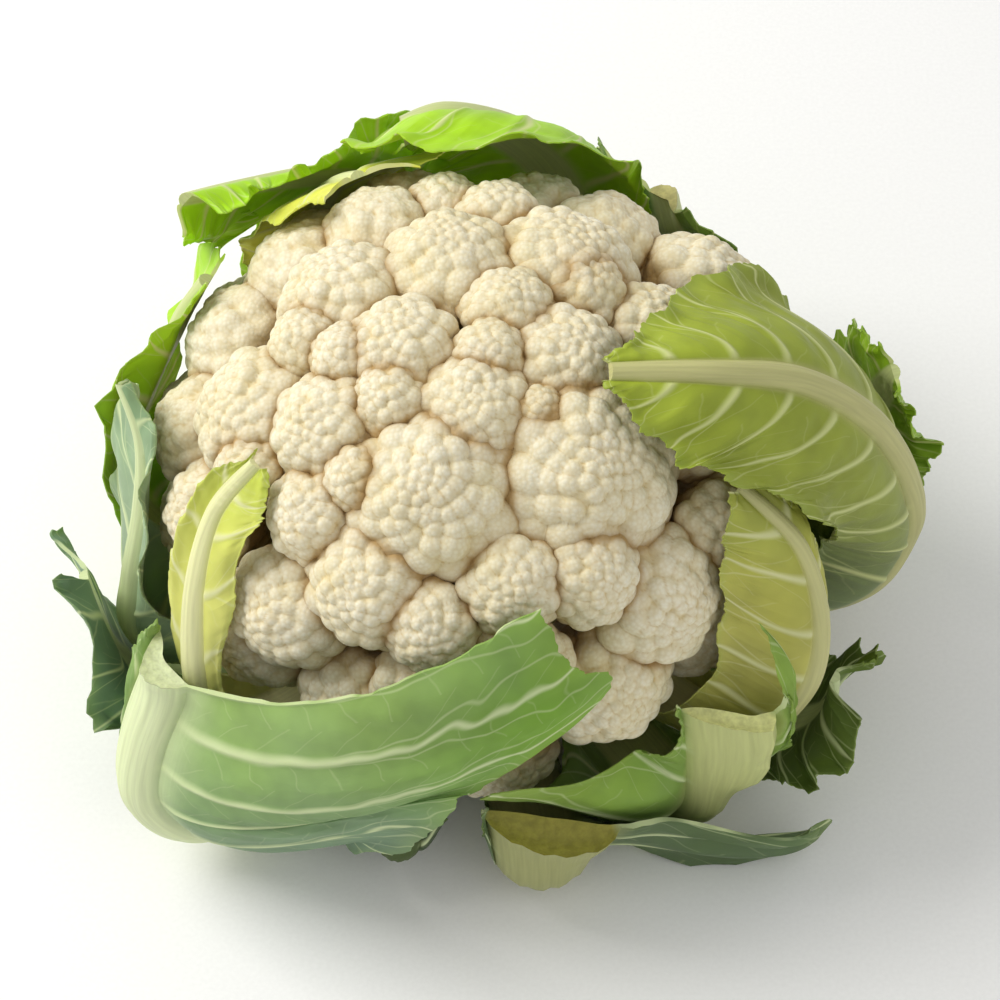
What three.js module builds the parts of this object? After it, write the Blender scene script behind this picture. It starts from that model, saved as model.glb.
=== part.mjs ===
// A head of cauliflower as cut from the field, standing on its stem, with its wrapper leaves trimmed
// but still on. Millimetres, +Z up, the origin at the middle of the cut face of the stem.
// Azimuth 0 is the front (-Y) and 90 is +X. Florets and leaves are placed round the heart, a point on
// the axis inside the head, by azimuth and latitude.
import * as THREE from "three";
import { mergeVertices } from "three/addons/utils/BufferGeometryUtils.js";

// Driving dimensions of the head
const HEART_HEIGHT = 64;
const CURD_RADIUS = 80;
const CURD_RISE = 66;
const CURD_DROP = 30;
const CORE_SHARE = 0.84;
const STEM_RADIUS = 19;
const STEM_TOP = 33.6;
const STEM_CHAMFER = 1.5;
const STEM_SIDES = 28;

// Florets and the lobes that each one is made of
const GOLDEN_ANGLE = 137.508;
const FLORET_SINK = 0.86;
const LOBES_PER_FLORET = 11;
const LOBE_SPREAD = 96;
const LOBE_SINK = 0.68;
const LOBE_SHARE = [0.36, 0.46];
const LOBE_SHARPNESS = 2.2;
const HIDDEN_FLORETS = 64;
const HIDDEN_RADIUS = 15;
const HIDDEN_SPACING = 0.8;
const HIDDEN_LATITUDES = [58, -14];
const CURD_DETAIL = 18;
const CURD_CROWDING = 0.56;

// Leaf blades
const BLADE_THICKNESS = 1.0;
const LEAF_GAP = 0.8;
const FLOOR_GAP = 0.5;
const GRID_ROWS = 48;
const GRID_COLUMNS = 40;
const RIB_SHARE = 0.2;
const DRAPE_PASSES = 10;

// The map of how far out the head reaches in each direction, in cells of this many degrees
const CELL = 1.5;
const MAP_COLUMNS = 360 / CELL;
const MAP_ROWS = 180 / CELL;
const CLEAR_CELLS = 2;

const heart = new THREE.Vector3(0, 0, HEART_HEIGHT);
const radians = THREE.MathUtils.degToRad;
const degrees = THREE.MathUtils.radToDeg;
const lerp = THREE.MathUtils.lerp;
const clamp = THREE.MathUtils.clamp;

// Florets on the side that opens to the light: azimuth, latitude, radius and how far it stands out.
const OPEN_FLORETS = [
  [138, 55, 20], [117, 60, 10], [-165, 66, 17], [-116, 53, 16], [-72, 72, 14],
  [120, 80, 11], [70, 66, 15], [2, 67, 14.5], [-44, 63, 9], [-57, 48, 14],
  [-79, 33, 17], [-14, 46, 21.5], [40, 45, 24], [27, 28, 12], [-43, 34, 11],
  [-24, 26, 15], [-41, 12, 15], [9, 30, 12], [42, 13, 17], [28, -3, 17],
  [3, -17, 14], [120, 22, 17, 6], [100, 46, 13], [-171, 41, 10], [172, 48, 11],
  [-64, 31, 9], [-69, 13, 13], [-9, 22, 11], [60, 17, 12], [-92, 51, 9],
  [-78, 60, 8], [24, 80, 9], [33, 63, 6], [-36, 46, 8], [82, 33, 16],
  [76, 13, 16], [-8, 2, 15], [-24, -6, 15], [8, 12, 13], [5, -27, 15, 14],
];

function direction(azimuth, latitude) {
  const a = radians(azimuth);
  const l = radians(latitude);
  return new THREE.Vector3(
    Math.cos(l) * Math.sin(a),
    -Math.cos(l) * Math.cos(a),
    Math.sin(l),
  );
}

// A point at a horizontal reach from the axis and a height above the surface, measured from the heart.
function station([azimuth, reach, height]) {
  const a = radians(azimuth);
  return new THREE.Vector3(
    reach * Math.sin(a),
    -reach * Math.cos(a),
    height - HEART_HEIGHT,
  );
}

// Distance from the heart to an ellipsoid round it.
function ellipsoid(dir, across, up) {
  return 1 / Math.hypot(Math.hypot(dir.x, dir.y) / across, dir.z / up);
}

function dome(dir) {
  return ellipsoid(dir, CURD_RADIUS, dir.z > 0 ? CURD_RISE : CURD_DROP * 1.5);
}

// The florets that the leaves hide follow a spiral, wherever the open ones leave room.
function allFlorets() {
  const florets = OPEN_FLORETS.map(([azimuth, latitude, radius, lift = 0]) => ({
    axis: direction(azimuth, latitude),
    radius,
    lift,
  }));
  for (let n = 0; n < HIDDEN_FLORETS; n++) {
    const [top, bottom] = HIDDEN_LATITUDES.map((l) => Math.sin(radians(l)));
    const latitude = degrees(Math.asin(lerp(top, bottom, n / (HIDDEN_FLORETS - 1))));
    const axis = direction(n * GOLDEN_ANGLE, latitude);
    const clear = florets.every(
      (f) => f.axis.angleTo(axis) * CURD_RADIUS > HIDDEN_SPACING * (f.radius + HIDDEN_RADIUS),
    );
    if (clear) florets.push({ axis, radius: HIDDEN_RADIUS, lift: 0 });
  }
  return florets;
}

// Each floret is a ball of lobes on a golden-angle spiral, larger towards its rim.
function lobesOf({ axis, radius, lift }, index) {
  const centre = axis.clone().multiplyScalar(dome(axis) + lift - FLORET_SINK * radius);
  const turn = new THREE.Quaternion().setFromUnitVectors(new THREE.Vector3(0, 0, 1), axis);
  const lobes = [];
  for (let n = 0; n < LOBES_PER_FLORET; n++) {
    const share = (n + 0.4) / LOBES_PER_FLORET;
    const polar = radians(LOBE_SPREAD) * Math.sqrt(share);
    const around = radians(n * GOLDEN_ANGLE + index * 47);
    const out = new THREE.Vector3(
      Math.sin(polar) * Math.cos(around),
      Math.sin(polar) * Math.sin(around),
      Math.cos(polar),
    ).applyQuaternion(turn);
    lobes.push({
      centre: centre.clone().addScaledVector(out, LOBE_SINK * radius),
      radius: radius * lerp(...LOBE_SHARE, share),
    });
  }
  lobes.push({ centre, radius: radius * 0.88 });
  return lobes;
}

const lobes = allFlorets().flatMap(lobesOf);

// How far out the curd reaches in a direction: a soft maximum over the core and every lobe met.
function curdReach(dir) {
  const core = CORE_SHARE * ellipsoid(dir, CURD_RADIUS, dir.z > 0 ? CURD_RISE : CURD_DROP);
  let sum = Math.exp(LOBE_SHARPNESS * 0);
  let most = core;
  for (const { centre, radius } of lobes) {
    const along = centre.dot(dir);
    const inside = radius * radius - centre.lengthSq() + along * along;
    if (inside <= 0 || along <= 0) continue;
    const reach = along + Math.sqrt(inside);
    if (reach > most) {
      sum = sum * Math.exp(LOBE_SHARPNESS * (most - reach)) + 1;
      most = reach;
    } else {
      sum += Math.exp(LOBE_SHARPNESS * (reach - most));
    }
  }
  return most + Math.log(sum) / LOBE_SHARPNESS;
}

// The curd is one closed surface round the heart, with its points crowded towards the top.
function curdGeometry() {
  const ball = new THREE.IcosahedronGeometry(1, CURD_DETAIL);
  ball.deleteAttribute("normal");
  ball.deleteAttribute("uv");
  const geometry = mergeVertices(ball, 1e-4);
  const position = geometry.attributes.position;
  const dir = new THREE.Vector3();
  for (let i = 0; i < position.count; i++) {
    dir.fromBufferAttribute(position, i);
    dir.z += CURD_CROWDING;
    dir.normalize();
    const lowest = (HEART_HEIGHT - STEM_TOP - 0.4) / Math.max(-dir.z, 1e-6);
    dir.multiplyScalar(dir.z < -0.86 ? Math.min(curdReach(dir), lowest) : curdReach(dir)).add(heart);
    position.setXYZ(i, dir.x, dir.y, dir.z);
  }
  return geometry;
}

function stemGeometry() {
  const profile = [
    [0, 0],
    [STEM_RADIUS - STEM_CHAMFER, 0],
    [STEM_RADIUS, STEM_CHAMFER],
    [STEM_RADIUS, STEM_TOP],
    [0, STEM_TOP],
  ].map(([r, z]) => new THREE.Vector2(r, z));
  return new THREE.LatheGeometry(profile, STEM_SIDES).rotateX(Math.PI / 2);
}

// A smooth value or point at t from 0 to 1 through equally spaced ones, by Catmull-Rom.
function through(list, t, mix) {
  const last = list.length - 1;
  const x = clamp(t, 0, 1) * last;
  const i = Math.min(Math.floor(x), last - 1);
  const f = x - i;
  const before = list[Math.max(i - 1, 0)];
  const after = list[Math.min(i + 2, last)];
  const w = [
    0.5 * (-f + 2 * f * f - f * f * f),
    0.5 * (2 - 5 * f * f + 3 * f * f * f),
    0.5 * (f + 4 * f * f - 3 * f * f * f),
    0.5 * (-f * f + f * f * f),
  ];
  return mix([before, list[i], list[i + 1], after], w);
}
const mixNumbers = (p, w) => p.reduce((sum, v, i) => sum + v * w[i], 0);
const mixPoints = (p, w) =>
  p.reduce((sum, v, i) => sum.addScaledVector(v, w[i]), new THREE.Vector3());

// How far out the head reaches in each direction so far, on a map of azimuth by latitude.
class Cover {
  constructor() {
    this.map = new Float64Array(MAP_ROWS * MAP_COLUMNS);
    for (let row = 0; row < MAP_ROWS; row++)
      for (let column = 0; column < MAP_COLUMNS; column++) {
        const dir = direction((column + 0.5) * CELL, (row + 0.5) * CELL - 90);
        this.map[row * MAP_COLUMNS + column] = curdReach(dir);
      }
  }

  static cell(dir) {
    const latitude = degrees(Math.asin(clamp(dir.z, -1, 1)));
    const azimuth = degrees(Math.atan2(dir.x, -dir.y));
    const row = clamp(Math.floor((latitude + 90) / CELL), 0, MAP_ROWS - 1);
    const column = (Math.floor(azimuth / CELL) + MAP_COLUMNS) % MAP_COLUMNS;
    return [row, column];
  }

  // Each cell takes the furthest reach within a few cells, so that a sheet laid on it stays clear.
  widened() {
    const wide = new Float64Array(this.map.length);
    for (let row = 0; row < MAP_ROWS; row++) {
      const latitude = radians((row + 0.5) * CELL - 90);
      const span = Math.min(Math.round(CLEAR_CELLS / Math.cos(latitude)), MAP_COLUMNS / 4);
      for (let column = 0; column < MAP_COLUMNS; column++) {
        let most = 0;
        for (let dr = -CLEAR_CELLS; dr <= CLEAR_CELLS; dr++) {
          const near = clamp(row + dr, 0, MAP_ROWS - 1) * MAP_COLUMNS;
          for (let dc = -span; dc <= span; dc++) {
            const value = this.map[near + ((column + dc + MAP_COLUMNS) % MAP_COLUMNS)];
            if (value > most) most = value;
          }
        }
        wide[row * MAP_COLUMNS + column] = most;
      }
    }
    return wide;
  }

  raise(dir, reach) {
    const [row, column] = Cover.cell(dir);
    const i = row * MAP_COLUMNS + column;
    this.map[i] = Math.max(this.map[i], reach);
  }
}

// Wrapper leaves, from the innermost to the outermost.
// rib: azimuth, reach and height of the midrib's inner face, from the stem to the tip or the knife cut.
// left, right: how wide the blade is on each side along the rib, seen from outside with the tip up.
// veins: how steeply the side veins climb on the left and the right, along the rib.
// hug: how far off the curd the blade's edges lie, along the rib. width, bulk: the midrib's half-width and height, at
// the stem and at the end. wave: depth and number of the waves along each edge.
const LEAVES = [
  {
    name: "leaf_inner_left",
    rib: [[-46, 21, 30], [-46, 48, 24], [-46, 72, 30], [-47, 88, 50], [-52, 83, 79], [-58, 71, 98], [-57, 59, 111]],
    left: [1.5, 3, 8, 9, 8, 5, 1], right: [1.5, 3, 3, 4, 9, 13, 2],
    veins: [[40, 40], [30, 30]], hug: [[6, 6], [2, 2]], width: [8, 1.6], bulk: [6, 1.0], wave: [0.5, 5],
  },
  {
    name: "leaf_inner_right",
    rib: [[50, 21, 30], [50, 48, 24], [50, 74, 25], [50, 90, 38], [54, 98, 57], [58, 96, 74], [62, 86, 90], [62, 70, 103]],
    left: [1.5, 3, 10, 14, 18, 21, 15, 2], right: [1.5, 3, 6, 9, 10, 9, 6, 1],
    veins: [[15, 30], [35, 35]], hug: [[2, 2], [9, 9]], width: [8, 1.6], bulk: [6, 1.0], wave: [0.5, 6],
  },
  {
    name: "leaf_inner_back_left",
    rib: [[-148, 21, 30], [-148, 48, 24], [-149, 74, 32], [-150, 83, 56], [-150, 80, 80], [-151, 72, 98], [-152, 61, 112]],
    left: [1.5, 3, 12, 22, 27, 26, 14], right: [1.5, 3, 12, 22, 27, 26, 14],
    veins: [[35, 35], [35, 35]], hug: [[4, 4], [4, 4]], width: [8, 2], bulk: [6, 1.2], wave: [0.8, 5],
  },
  {
    name: "leaf_inner_back_right",
    rib: [[128, 21, 30], [128, 48, 24], [128, 72, 30], [127, 82, 48], [125, 81, 60], [123, 78, 72]],
    left: [1.5, 3, 14, 24, 26, 14], right: [1.5, 3, 14, 22, 24, 12],
    veins: [[35, 35], [35, 35]], hug: [[3, 3], [3, 3]], width: [8, 3], bulk: [6, 2], wave: [0.8, 4],
  },
  {
    name: "leaf_low_front",
    rib: [[-16, 21, 22.5], [-16, 50, 14], [-15, 74, 10], [-13, 82, 17], [-12, 76, 28]],
    left: [1.5, 3, 8, 8, 4], right: [1.5, 3, 7, 7, 4],
    veins: [[35, 35], [35, 35]], hug: [[16, 16], [16, 16]], width: [8, 4], bulk: [6, 2.5], wave: [0.6, 3],
  },
  {
    name: "leaf_right",
    rib: [[85, 21, 22.5], [85, 54, 14], [86, 95, 21], [88, 108, 44], [87, 105, 70], [85, 94, 96], [81, 77, 116], [72, 58, 127], [57, 37, 130]],
    left: [1.5, 3, 14, 30, 40, 40, 32, 18, 1], right: [1.5, 3, 18, 34, 46, 46, 32, 16, 1],
    veins: [[42, 42], [25, 25]], hug: [[6, 6], [4, 4]], width: [8, 2.2], bulk: [6.5, 1.4], wave: [0.8, 7], fine: true,
  },
  {
    name: "leaf_left",
    rib: [[-76, 21, 22.5], [-76, 54, 14], [-75, 80, 16], [-74, 89, 34], [-74, 87, 54], [-77, 82, 74], [-82, 80, 90], [-88, 84, 102]],
    left: [1.5, 3, 16, 26, 28, 24, 14, 2], right: [1.5, 3, 10, 12, 9, 8, 5, 1],
    veins: [[35, 35], [35, 35]], hug: [[8, 8], [6, 6]], width: [8, 1.6], bulk: [6.5, 1.0], wave: [1.4, 5], fine: true,
  },
  {
    name: "leaf_back",
    rib: [[160, 21, 22.5], [160, 54, 14], [161, 80, 22], [163, 90, 48], [167, 91, 72], [174, 87, 90], [-175, 84, 99], [-167, 82, 98]],
    left: [1.5, 3, 14, 26, 36, 44, 32, 8], right: [1.5, 3, 14, 24, 24, 16, 8, 4],
    veins: [[30, 50], [30, 20]], hug: [[8, 8], [8, 8]], width: [8, 6.5], bulk: [6.5, 4.5], wave: [1.4, 5], fine: true,
  },
  {
    name: "leaf_back_left",
    rib: [[-98, 21, 15], [-98, 54, 9], [-98, 80, 14], [-98, 91, 40], [-103, 85, 64], [-109, 77, 86], [-114, 71, 102]],
    left: [1.5, 3, 14, 22, 24, 18, 4], right: [1.5, 3, 10, 14, 12, 9, 2],
    veins: [[35, 35], [35, 35]], hug: [[6, 6], [6, 6]], width: [8, 3], bulk: [6.5, 2], wave: [1.0, 5],
  },
  {
    name: "leaf_front_left",
    rib: [[-43, 21, 15], [-43, 56, 9], [-43, 85, 8.5], [-45, 101, 16], [-49, 107, 30], [-51, 101, 47], [-52, 88, 65]],
    left: [1.5, 3, 8, 11, 11, 8, 2], right: [1.5, 3, 20, 61, 94, 128, 90],
    veins: [[40, 40], [0, 0, 0, -16, -7, 10, 29]], hug: [[12, 12], [26, 26, 24, 20, 8, 5, 4]],
    width: [8, 8.5], bulk: [7, 6], wave: [1.2, 4], fine: true,
  },
  {
    name: "leaf_front_right",
    rib: [[41, 21, 15], [41, 54, 9.5], [40, 78, 9], [40, 87, 20], [41, 87, 33], [41, 86, 47], [41, 83, 61]],
    left: [1.5, 3, 20, 60, 16, 4, 1.5], right: [1.5, 3, 8, 12, 14, 16, 18],
    veins: [[0, 0, 4, 16, 24, 20, 20], [40, 70]], hug: [[7, 7], [10, 10]], width: [8, 7.5], bulk: [7, 6.5], wave: [1.0, 4], fine: true,
  },
  {
    name: "leaf_far_right",
    rib: [[106, 21, 15], [106, 54, 9], [106, 82, 15], [105, 99, 40], [103, 103, 58], [100, 102, 74], [98, 104, 85]],
    left: [1.5, 3, 12, 16, 14, 9, 5], right: [1.5, 3, 14, 20, 18, 11, 5],
    veins: [[35, 35], [35, 35]], hug: [[26, 26], [22, 22]], width: [8, 2], bulk: [6.5, 1.2], wave: [2.0, 5],
  },
  {
    name: "leaf_low_right",
    rib: [[62, 21, 8.5], [62, 54, 6], [62, 80, 8], [62, 93, 16], [62, 99, 28], [62, 100, 42]],
    left: [1.5, 3, 16, 26, 24, 10], right: [1.5, 3, 14, 18, 14, 6],
    veins: [[35, 35], [35, 35]], hug: [[38, 38], [34, 34]], width: [8, 1.8], bulk: [6, 1.2], wave: [2.2, 5], fine: true,
  },
  {
    name: "leaf_front",
    rib: [[12, 21, 8.5], [12, 54, 6], [12, 73, 7], [12, 83, 13], [12, 84, 25], [12, 79, 37]],
    left: [1.5, 3, 4, 6, 5, 2], right: [1.5, 3, 26, 44, 42, 32],
    veins: [[30, 30], [0, 0, 0, -4, -8, -8]], hug: [[14, 14], [50, 50, 56, 60, 54, 50]], width: [8, 15], bulk: [6, 9], wave: [1.6, 4], fine: true,
  },
  {
    name: "leaf_low_back_right",
    rib: [[140, 21, 8.5], [140, 54, 6], [141, 82, 12], [142, 94, 32], [144, 93, 56], [147, 86, 79]],
    left: [1.5, 3, 16, 24, 22, 8], right: [1.5, 3, 16, 28, 30, 14],
    veins: [[35, 35], [35, 35]], hug: [[8, 8], [8, 8]], width: [8, 5], bulk: [6, 3.5], wave: [1.6, 4],
  },
  {
    name: "leaf_low_back_left",
    rib: [[-150, 21, 8.5], [-150, 54, 6], [-151, 82, 12], [-154, 93, 36], [-158, 92, 60], [-157, 87, 81], [-147, 82, 94], [-135, 83, 102], [-123, 84, 113]],
    left: [1.5, 3, 16, 24, 24, 14, 9, 9, 6], right: [1.5, 3, 18, 32, 40, 34, 22, 14, 6],
    veins: [[35, 35], [35, 35]], hug: [[8, 8], [10, 10]], width: [8, 2.2], bulk: [6, 1.4], wave: [1.8, 5],
  },
  {
    name: "leaf_low_left",
    rib: [[-72, 21, 8.5], [-72, 54, 6], [-71, 82, 10], [-70, 93, 26], [-71, 97, 42], [-75, 99, 55]],
    left: [1.5, 3, 14, 20, 20, 12], right: [1.5, 3, 12, 18, 17, 10],
    veins: [[35, 35], [35, 35]], hug: [[26, 26], [24, 24]], width: [8, 3], bulk: [6, 1.5], wave: [2.0, 4],
  },
];

// The leaf's surface on a grid of rows along the rib and columns across it: for each node of the grid
// the direction from the heart, how far out the inner face lies and how thick the leaf is there.
function leafGrid(leaf, wide) {
  const rib = leaf.rib.map(station);
  const grid = [];
  for (let row = 0; row <= GRID_ROWS; row++) {
    const t = row / GRID_ROWS;
    const at = through(rib, t, mixPoints);
    const ahead = through(rib, Math.min(t + 0.02, 1), mixPoints);
    const behind = through(rib, Math.max(t - 0.02, 0), mixPoints);
    const reach = at.length();
    const out = at.clone().normalize();
    const along = ahead.sub(behind);
    along.addScaledVector(out, -along.dot(out)).normalize();
    const across = along.clone().cross(out);
    const half = lerp(...leaf.width, t);
    const bulk = lerp(...leaf.bulk, t);
    const [depth, count] = leaf.wave;
    const cells = [];
    for (let column = 0; column <= GRID_COLUMNS; column++) {
      const q = (2 * column) / GRID_COLUMNS - 1;
      const side = q < 0 ? 0 : 1;
      const edge = through(side ? leaf.right : leaf.left, t, mixNumbers);
      const teeth = 1 + 0.05 * Math.sin(2 * Math.PI * (count + 1) * t + 2 * side);
      const share = Math.max(Math.abs(q) - RIB_SHARE, 0) / (1 - RIB_SHARE);
      const inRib = Math.min(Math.abs(q) / RIB_SHARE, 1);
      const off = half * inRib + Math.max(edge * teeth, 1) * share;
      const climb = radians(through(leaf.veins[side], t, mixNumbers)) * share ** 0.5;
      const heading = across
        .clone()
        .multiplyScalar(Math.cos(climb) * (side ? 1 : -1))
        .addScaledVector(along, Math.sin(climb));
      const turn = off / reach;
      const dir = out.clone().multiplyScalar(Math.cos(turn)).addScaledVector(heading, Math.sin(turn));
      const body = clamp(edge / 12, 0, 1);
      const settle = body * share * share * (3 - 2 * share);
      const ripple = depth * body * share * share * Math.sin(2 * Math.PI * count * t + 3 * side);
      const clear = through(leaf.hug[side], t, mixNumbers);
      const wanted = lerp(reach, dome(dir) + clear, settle) + ripple;
      const [mapRow, mapColumn] = Cover.cell(dir);
      const under = wide[mapRow * MAP_COLUMNS + mapColumn] + LEAF_GAP;
      cells.push({
        dir,
        wanted,
        push: Math.max(under - wanted, 0),
        thick: BLADE_THICKNESS + bulk * Math.sqrt(1 - inRib * inRib),
      });
    }
    grid.push(cells);
  }
  return grid;
}

// Where a leaf is lifted by what lies under it, the lift fades out over the sheet round it.
function smoothPush(grid) {
  for (let pass = 0; pass < DRAPE_PASSES; pass++) {
    const old = grid.map((cells) => cells.map((c) => c.push));
    grid.forEach((cells, r) =>
      cells.forEach((cell, c) => {
        const around = [old[r - 1]?.[c], old[r + 1]?.[c], old[r][c - 1], old[r][c + 1]];
        const known = around.filter((v) => v !== undefined);
        const mean = known.reduce((a, b) => a + b, 0) / known.length;
        cell.push = Math.max(cell.push, mean);
      }),
    );
  }
}

// The leaf keeps off the surface that the head stands on.
function settleLeaf(grid) {
  for (const cells of grid)
    for (const cell of cells) {
      const floor = (HEART_HEIGHT - FLOOR_GAP) / Math.max(-cell.dir.z, 1e-6);
      cell.outer = Math.min(cell.wanted + cell.push + cell.thick, floor);
      cell.inner = Math.min(cell.wanted + cell.push, cell.outer - 0.8);
    }
}

function coverWith(cover, grid) {
  const steps = 3;
  const dir = new THREE.Vector3();
  for (let r = 0; r < GRID_ROWS; r++)
    for (let c = 0; c < GRID_COLUMNS; c++)
      for (let i = 0; i <= steps; i++)
        for (let j = 0; j <= steps; j++) {
          const u = i / steps;
          const v = j / steps;
          const corners = [grid[r][c], grid[r][c + 1], grid[r + 1][c], grid[r + 1][c + 1]];
          const weights = [(1 - u) * (1 - v), (1 - u) * v, u * (1 - v), u * v];
          dir.set(0, 0, 0);
          let reach = 0;
          corners.forEach((corner, k) => {
            dir.addScaledVector(corner.dir, weights[k]);
            reach += corner.outer * weights[k];
          });
          cover.raise(dir.normalize(), reach);
        }
}

// Both faces of a leaf use the same rows, columns and diagonals, joined round the border.
const COARSE_COLUMNS = [-1, -0.6, -0.2, -0.1, 0, 0.1, 0.2, 0.6, 1];
const FINE_COLUMNS = [-1, -0.75, -0.5, -0.2, -0.1, 0, 0.1, 0.2, 0.5, 0.75, 1];

function leafGeometry(leaf, grid) {
  const step = leaf.fine ? 3 : 4;
  const columns = (leaf.fine ? FINE_COLUMNS : COARSE_COLUMNS).map((q) =>
    Math.round(((q + 1) * GRID_COLUMNS) / 2),
  );
  const rows = Array.from({ length: GRID_ROWS / step + 1 }, (_, i) => i * step);
  const points = [];
  const faces = [];
  for (const face of ["outer", "inner"])
    for (const row of rows)
      for (const column of columns) {
        const cell = grid[row][column];
        const p = cell.dir.clone().multiplyScalar(cell[face]).add(heart);
        points.push(p.x, p.y, p.z);
      }
  const across = columns.length;
  const layer = rows.length * across;
  const quad = (a, b, c, d) => faces.push(a, b, c, a, c, d);
  for (let r = 0; r < rows.length - 1; r++)
    for (let c = 0; c < across - 1; c++) {
      const a = r * across + c;
      quad(a, a + 1, a + across + 1, a + across);
      faces.push(layer + a, layer + a + across + 1, layer + a + 1);
      faces.push(layer + a, layer + a + across, layer + a + across + 1);
    }
  const wall = (a, b) => quad(b, a, layer + a, layer + b);
  for (let c = 0; c < across - 1; c++) {
    wall(c, c + 1);
    const top = (rows.length - 1) * across + c;
    wall(top + 1, top);
  }
  for (let r = 0; r < rows.length - 1; r++) {
    const a = r * across;
    wall(a + across, a);
    wall(a + across - 1, a + 2 * across - 1);
  }
  const geometry = new THREE.BufferGeometry();
  geometry.setAttribute("position", new THREE.Float32BufferAttribute(points, 3));
  geometry.setIndex(faces);
  return geometry;
}

const finish = (colour, roughness) =>
  new THREE.MeshStandardMaterial({ color: colour, roughness, metalness: 0 });

const cauliflower = new THREE.Group();

function add(name, geometry, material) {
  const mesh = new THREE.Mesh(geometry, material);
  mesh.name = name;
  cauliflower.add(mesh);
}

add("curd", curdGeometry(), finish(0xf1e8d2, 0.75));
add("stem", stemGeometry(), finish(0xdfe6bd, 0.6));

const cover = new Cover();
for (const leaf of LEAVES) {
  const grid = leafGrid(leaf, cover.widened());
  smoothPush(grid);
  settleLeaf(grid);
  coverWith(cover, grid);
  add(leaf.name, leafGeometry(leaf, grid), finish(0x8fb26a, 0.55));
}

export default cauliflower;
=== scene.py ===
"""A head of cauliflower as cut from the field, standing on its stem in its trimmed wrapper leaves.

Lengths are in millimetres until a mesh is made, +Z is up, and the origin is the middle of the cut
face of the stem. Azimuth 0 is the front (-Y) and 90 is +X. Florets and leaves are placed round the
heart, a point on the axis inside the head, where the CAD solids have them.
"""

import bpy
import numpy as np
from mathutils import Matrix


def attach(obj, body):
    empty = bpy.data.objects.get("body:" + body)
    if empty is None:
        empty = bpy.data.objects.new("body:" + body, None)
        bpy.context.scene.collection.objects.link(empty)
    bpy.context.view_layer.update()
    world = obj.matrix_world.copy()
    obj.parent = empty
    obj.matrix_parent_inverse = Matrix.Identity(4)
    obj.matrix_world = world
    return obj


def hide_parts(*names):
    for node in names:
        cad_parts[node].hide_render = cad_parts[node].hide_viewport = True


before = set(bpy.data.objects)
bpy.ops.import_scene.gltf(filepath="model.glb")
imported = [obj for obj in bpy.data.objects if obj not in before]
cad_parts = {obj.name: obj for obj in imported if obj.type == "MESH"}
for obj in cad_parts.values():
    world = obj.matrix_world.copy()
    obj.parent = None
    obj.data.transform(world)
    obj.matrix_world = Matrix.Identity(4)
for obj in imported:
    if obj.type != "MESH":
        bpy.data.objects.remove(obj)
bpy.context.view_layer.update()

MM = 0.001
TURN = 2 * np.pi
HEART = np.array([0.0, 0.0, 64.0])
CURD_RADIUS, CURD_RISE, CURD_DROP, CORE_SHARE = 80.0, 66.0, 30.0, 0.84
STEM_RADIUS, STEM_TOP = 19.0, 33.6
GOLDEN = np.radians(137.508)
VIEW_DOWN, LENS, SENSOR = 55, 110, 36
VIEW_DISTANCE, AIM_RIGHT, AIM_DOWN = 0.764, 0.00625, 0.00775
WORLD_STRENGTH, FLOOR_REACH = 0.55, 6


# ---------------------------------------------------------------- camera, light and floor

def place_camera():
    """Looks along +Y and down by VIEW_DOWN degrees, at a point a little beside and below the heart
    in the picture. Its distance and the offsets of its aim are in metres."""
    tilt = np.radians(VIEW_DOWN)
    back = np.array([0, -np.cos(tilt), np.sin(tilt)])
    up = np.array([0, np.sin(tilt), np.cos(tilt)])
    target = HEART * MM + np.array([AIM_RIGHT, 0, 0]) - AIM_DOWN * up
    data = bpy.data.cameras.new("camera")
    data.lens = LENS
    data.sensor_width = SENSOR
    camera = bpy.data.objects.new("camera", data)
    camera.location = target + VIEW_DISTANCE * back
    camera.rotation_euler = (np.radians(90 - VIEW_DOWN), 0, 0)
    bpy.context.collection.objects.link(camera)
    bpy.context.scene.camera = camera


def place_light(name, place, aim, size, watts, colour):
    """A square soft light at place, turned towards aim, in metres. A lamp shines along its own -Z,
    so its +Z is turned to the line from aim to place, by that line's polar angle and azimuth."""
    data = bpy.data.lights.new(name, "AREA")
    data.size = size
    data.energy = watts
    data.color = colour
    light = bpy.data.objects.new(name, data)
    light.location = place
    away = np.array(place) - np.array(aim)
    away = away / np.linalg.norm(away)
    light.rotation_euler = (np.arccos(away[2]), 0, np.arctan2(away[0], -away[1]))
    bpy.context.collection.objects.link(light)


# ---------------------------------------------------------------- materials

def linear(code):
    """An sRGB hex colour as linear red, green and blue, with an alpha of 1: below 0.04045 the value
    over 12.92, above it the power 2.4 of the value raised by 0.055 and divided by 1.055."""
    s = np.array([int(code[i:i + 2], 16) for i in (1, 3, 5)]) / 255
    rgb = np.where(s <= 0.04045, s / 12.92, ((s + 0.055) / 1.055) ** 2.4)
    return (*rgb.tolist(), 1.0)


def add(tree, kind, links=None, stops=None, **settings):
    """Adds one node of a kind with its settings, its inputs as values or sockets, and a ramp's stops."""
    node = tree.nodes.new("ShaderNode" + kind)
    for key, value in settings.items():
        setattr(node, key, value)
    for key, value in (links or {}).items():
        if isinstance(value, bpy.types.NodeSocket):
            tree.links.new(value, node.inputs[key])
        else:
            node.inputs[key].default_value = value
    if stops:
        ramp = node.color_ramp.elements
        while len(ramp) < len(stops):
            ramp.new(0.5)
        for element, (place, colour) in zip(ramp, stops):
            element.position = place
            element.color = colour
    return node


def new_material(name):
    """An empty material and its node tree."""
    material = bpy.data.materials.new(name)
    material.use_nodes = True
    material.node_tree.nodes.clear()
    return material, material.node_tree


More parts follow.
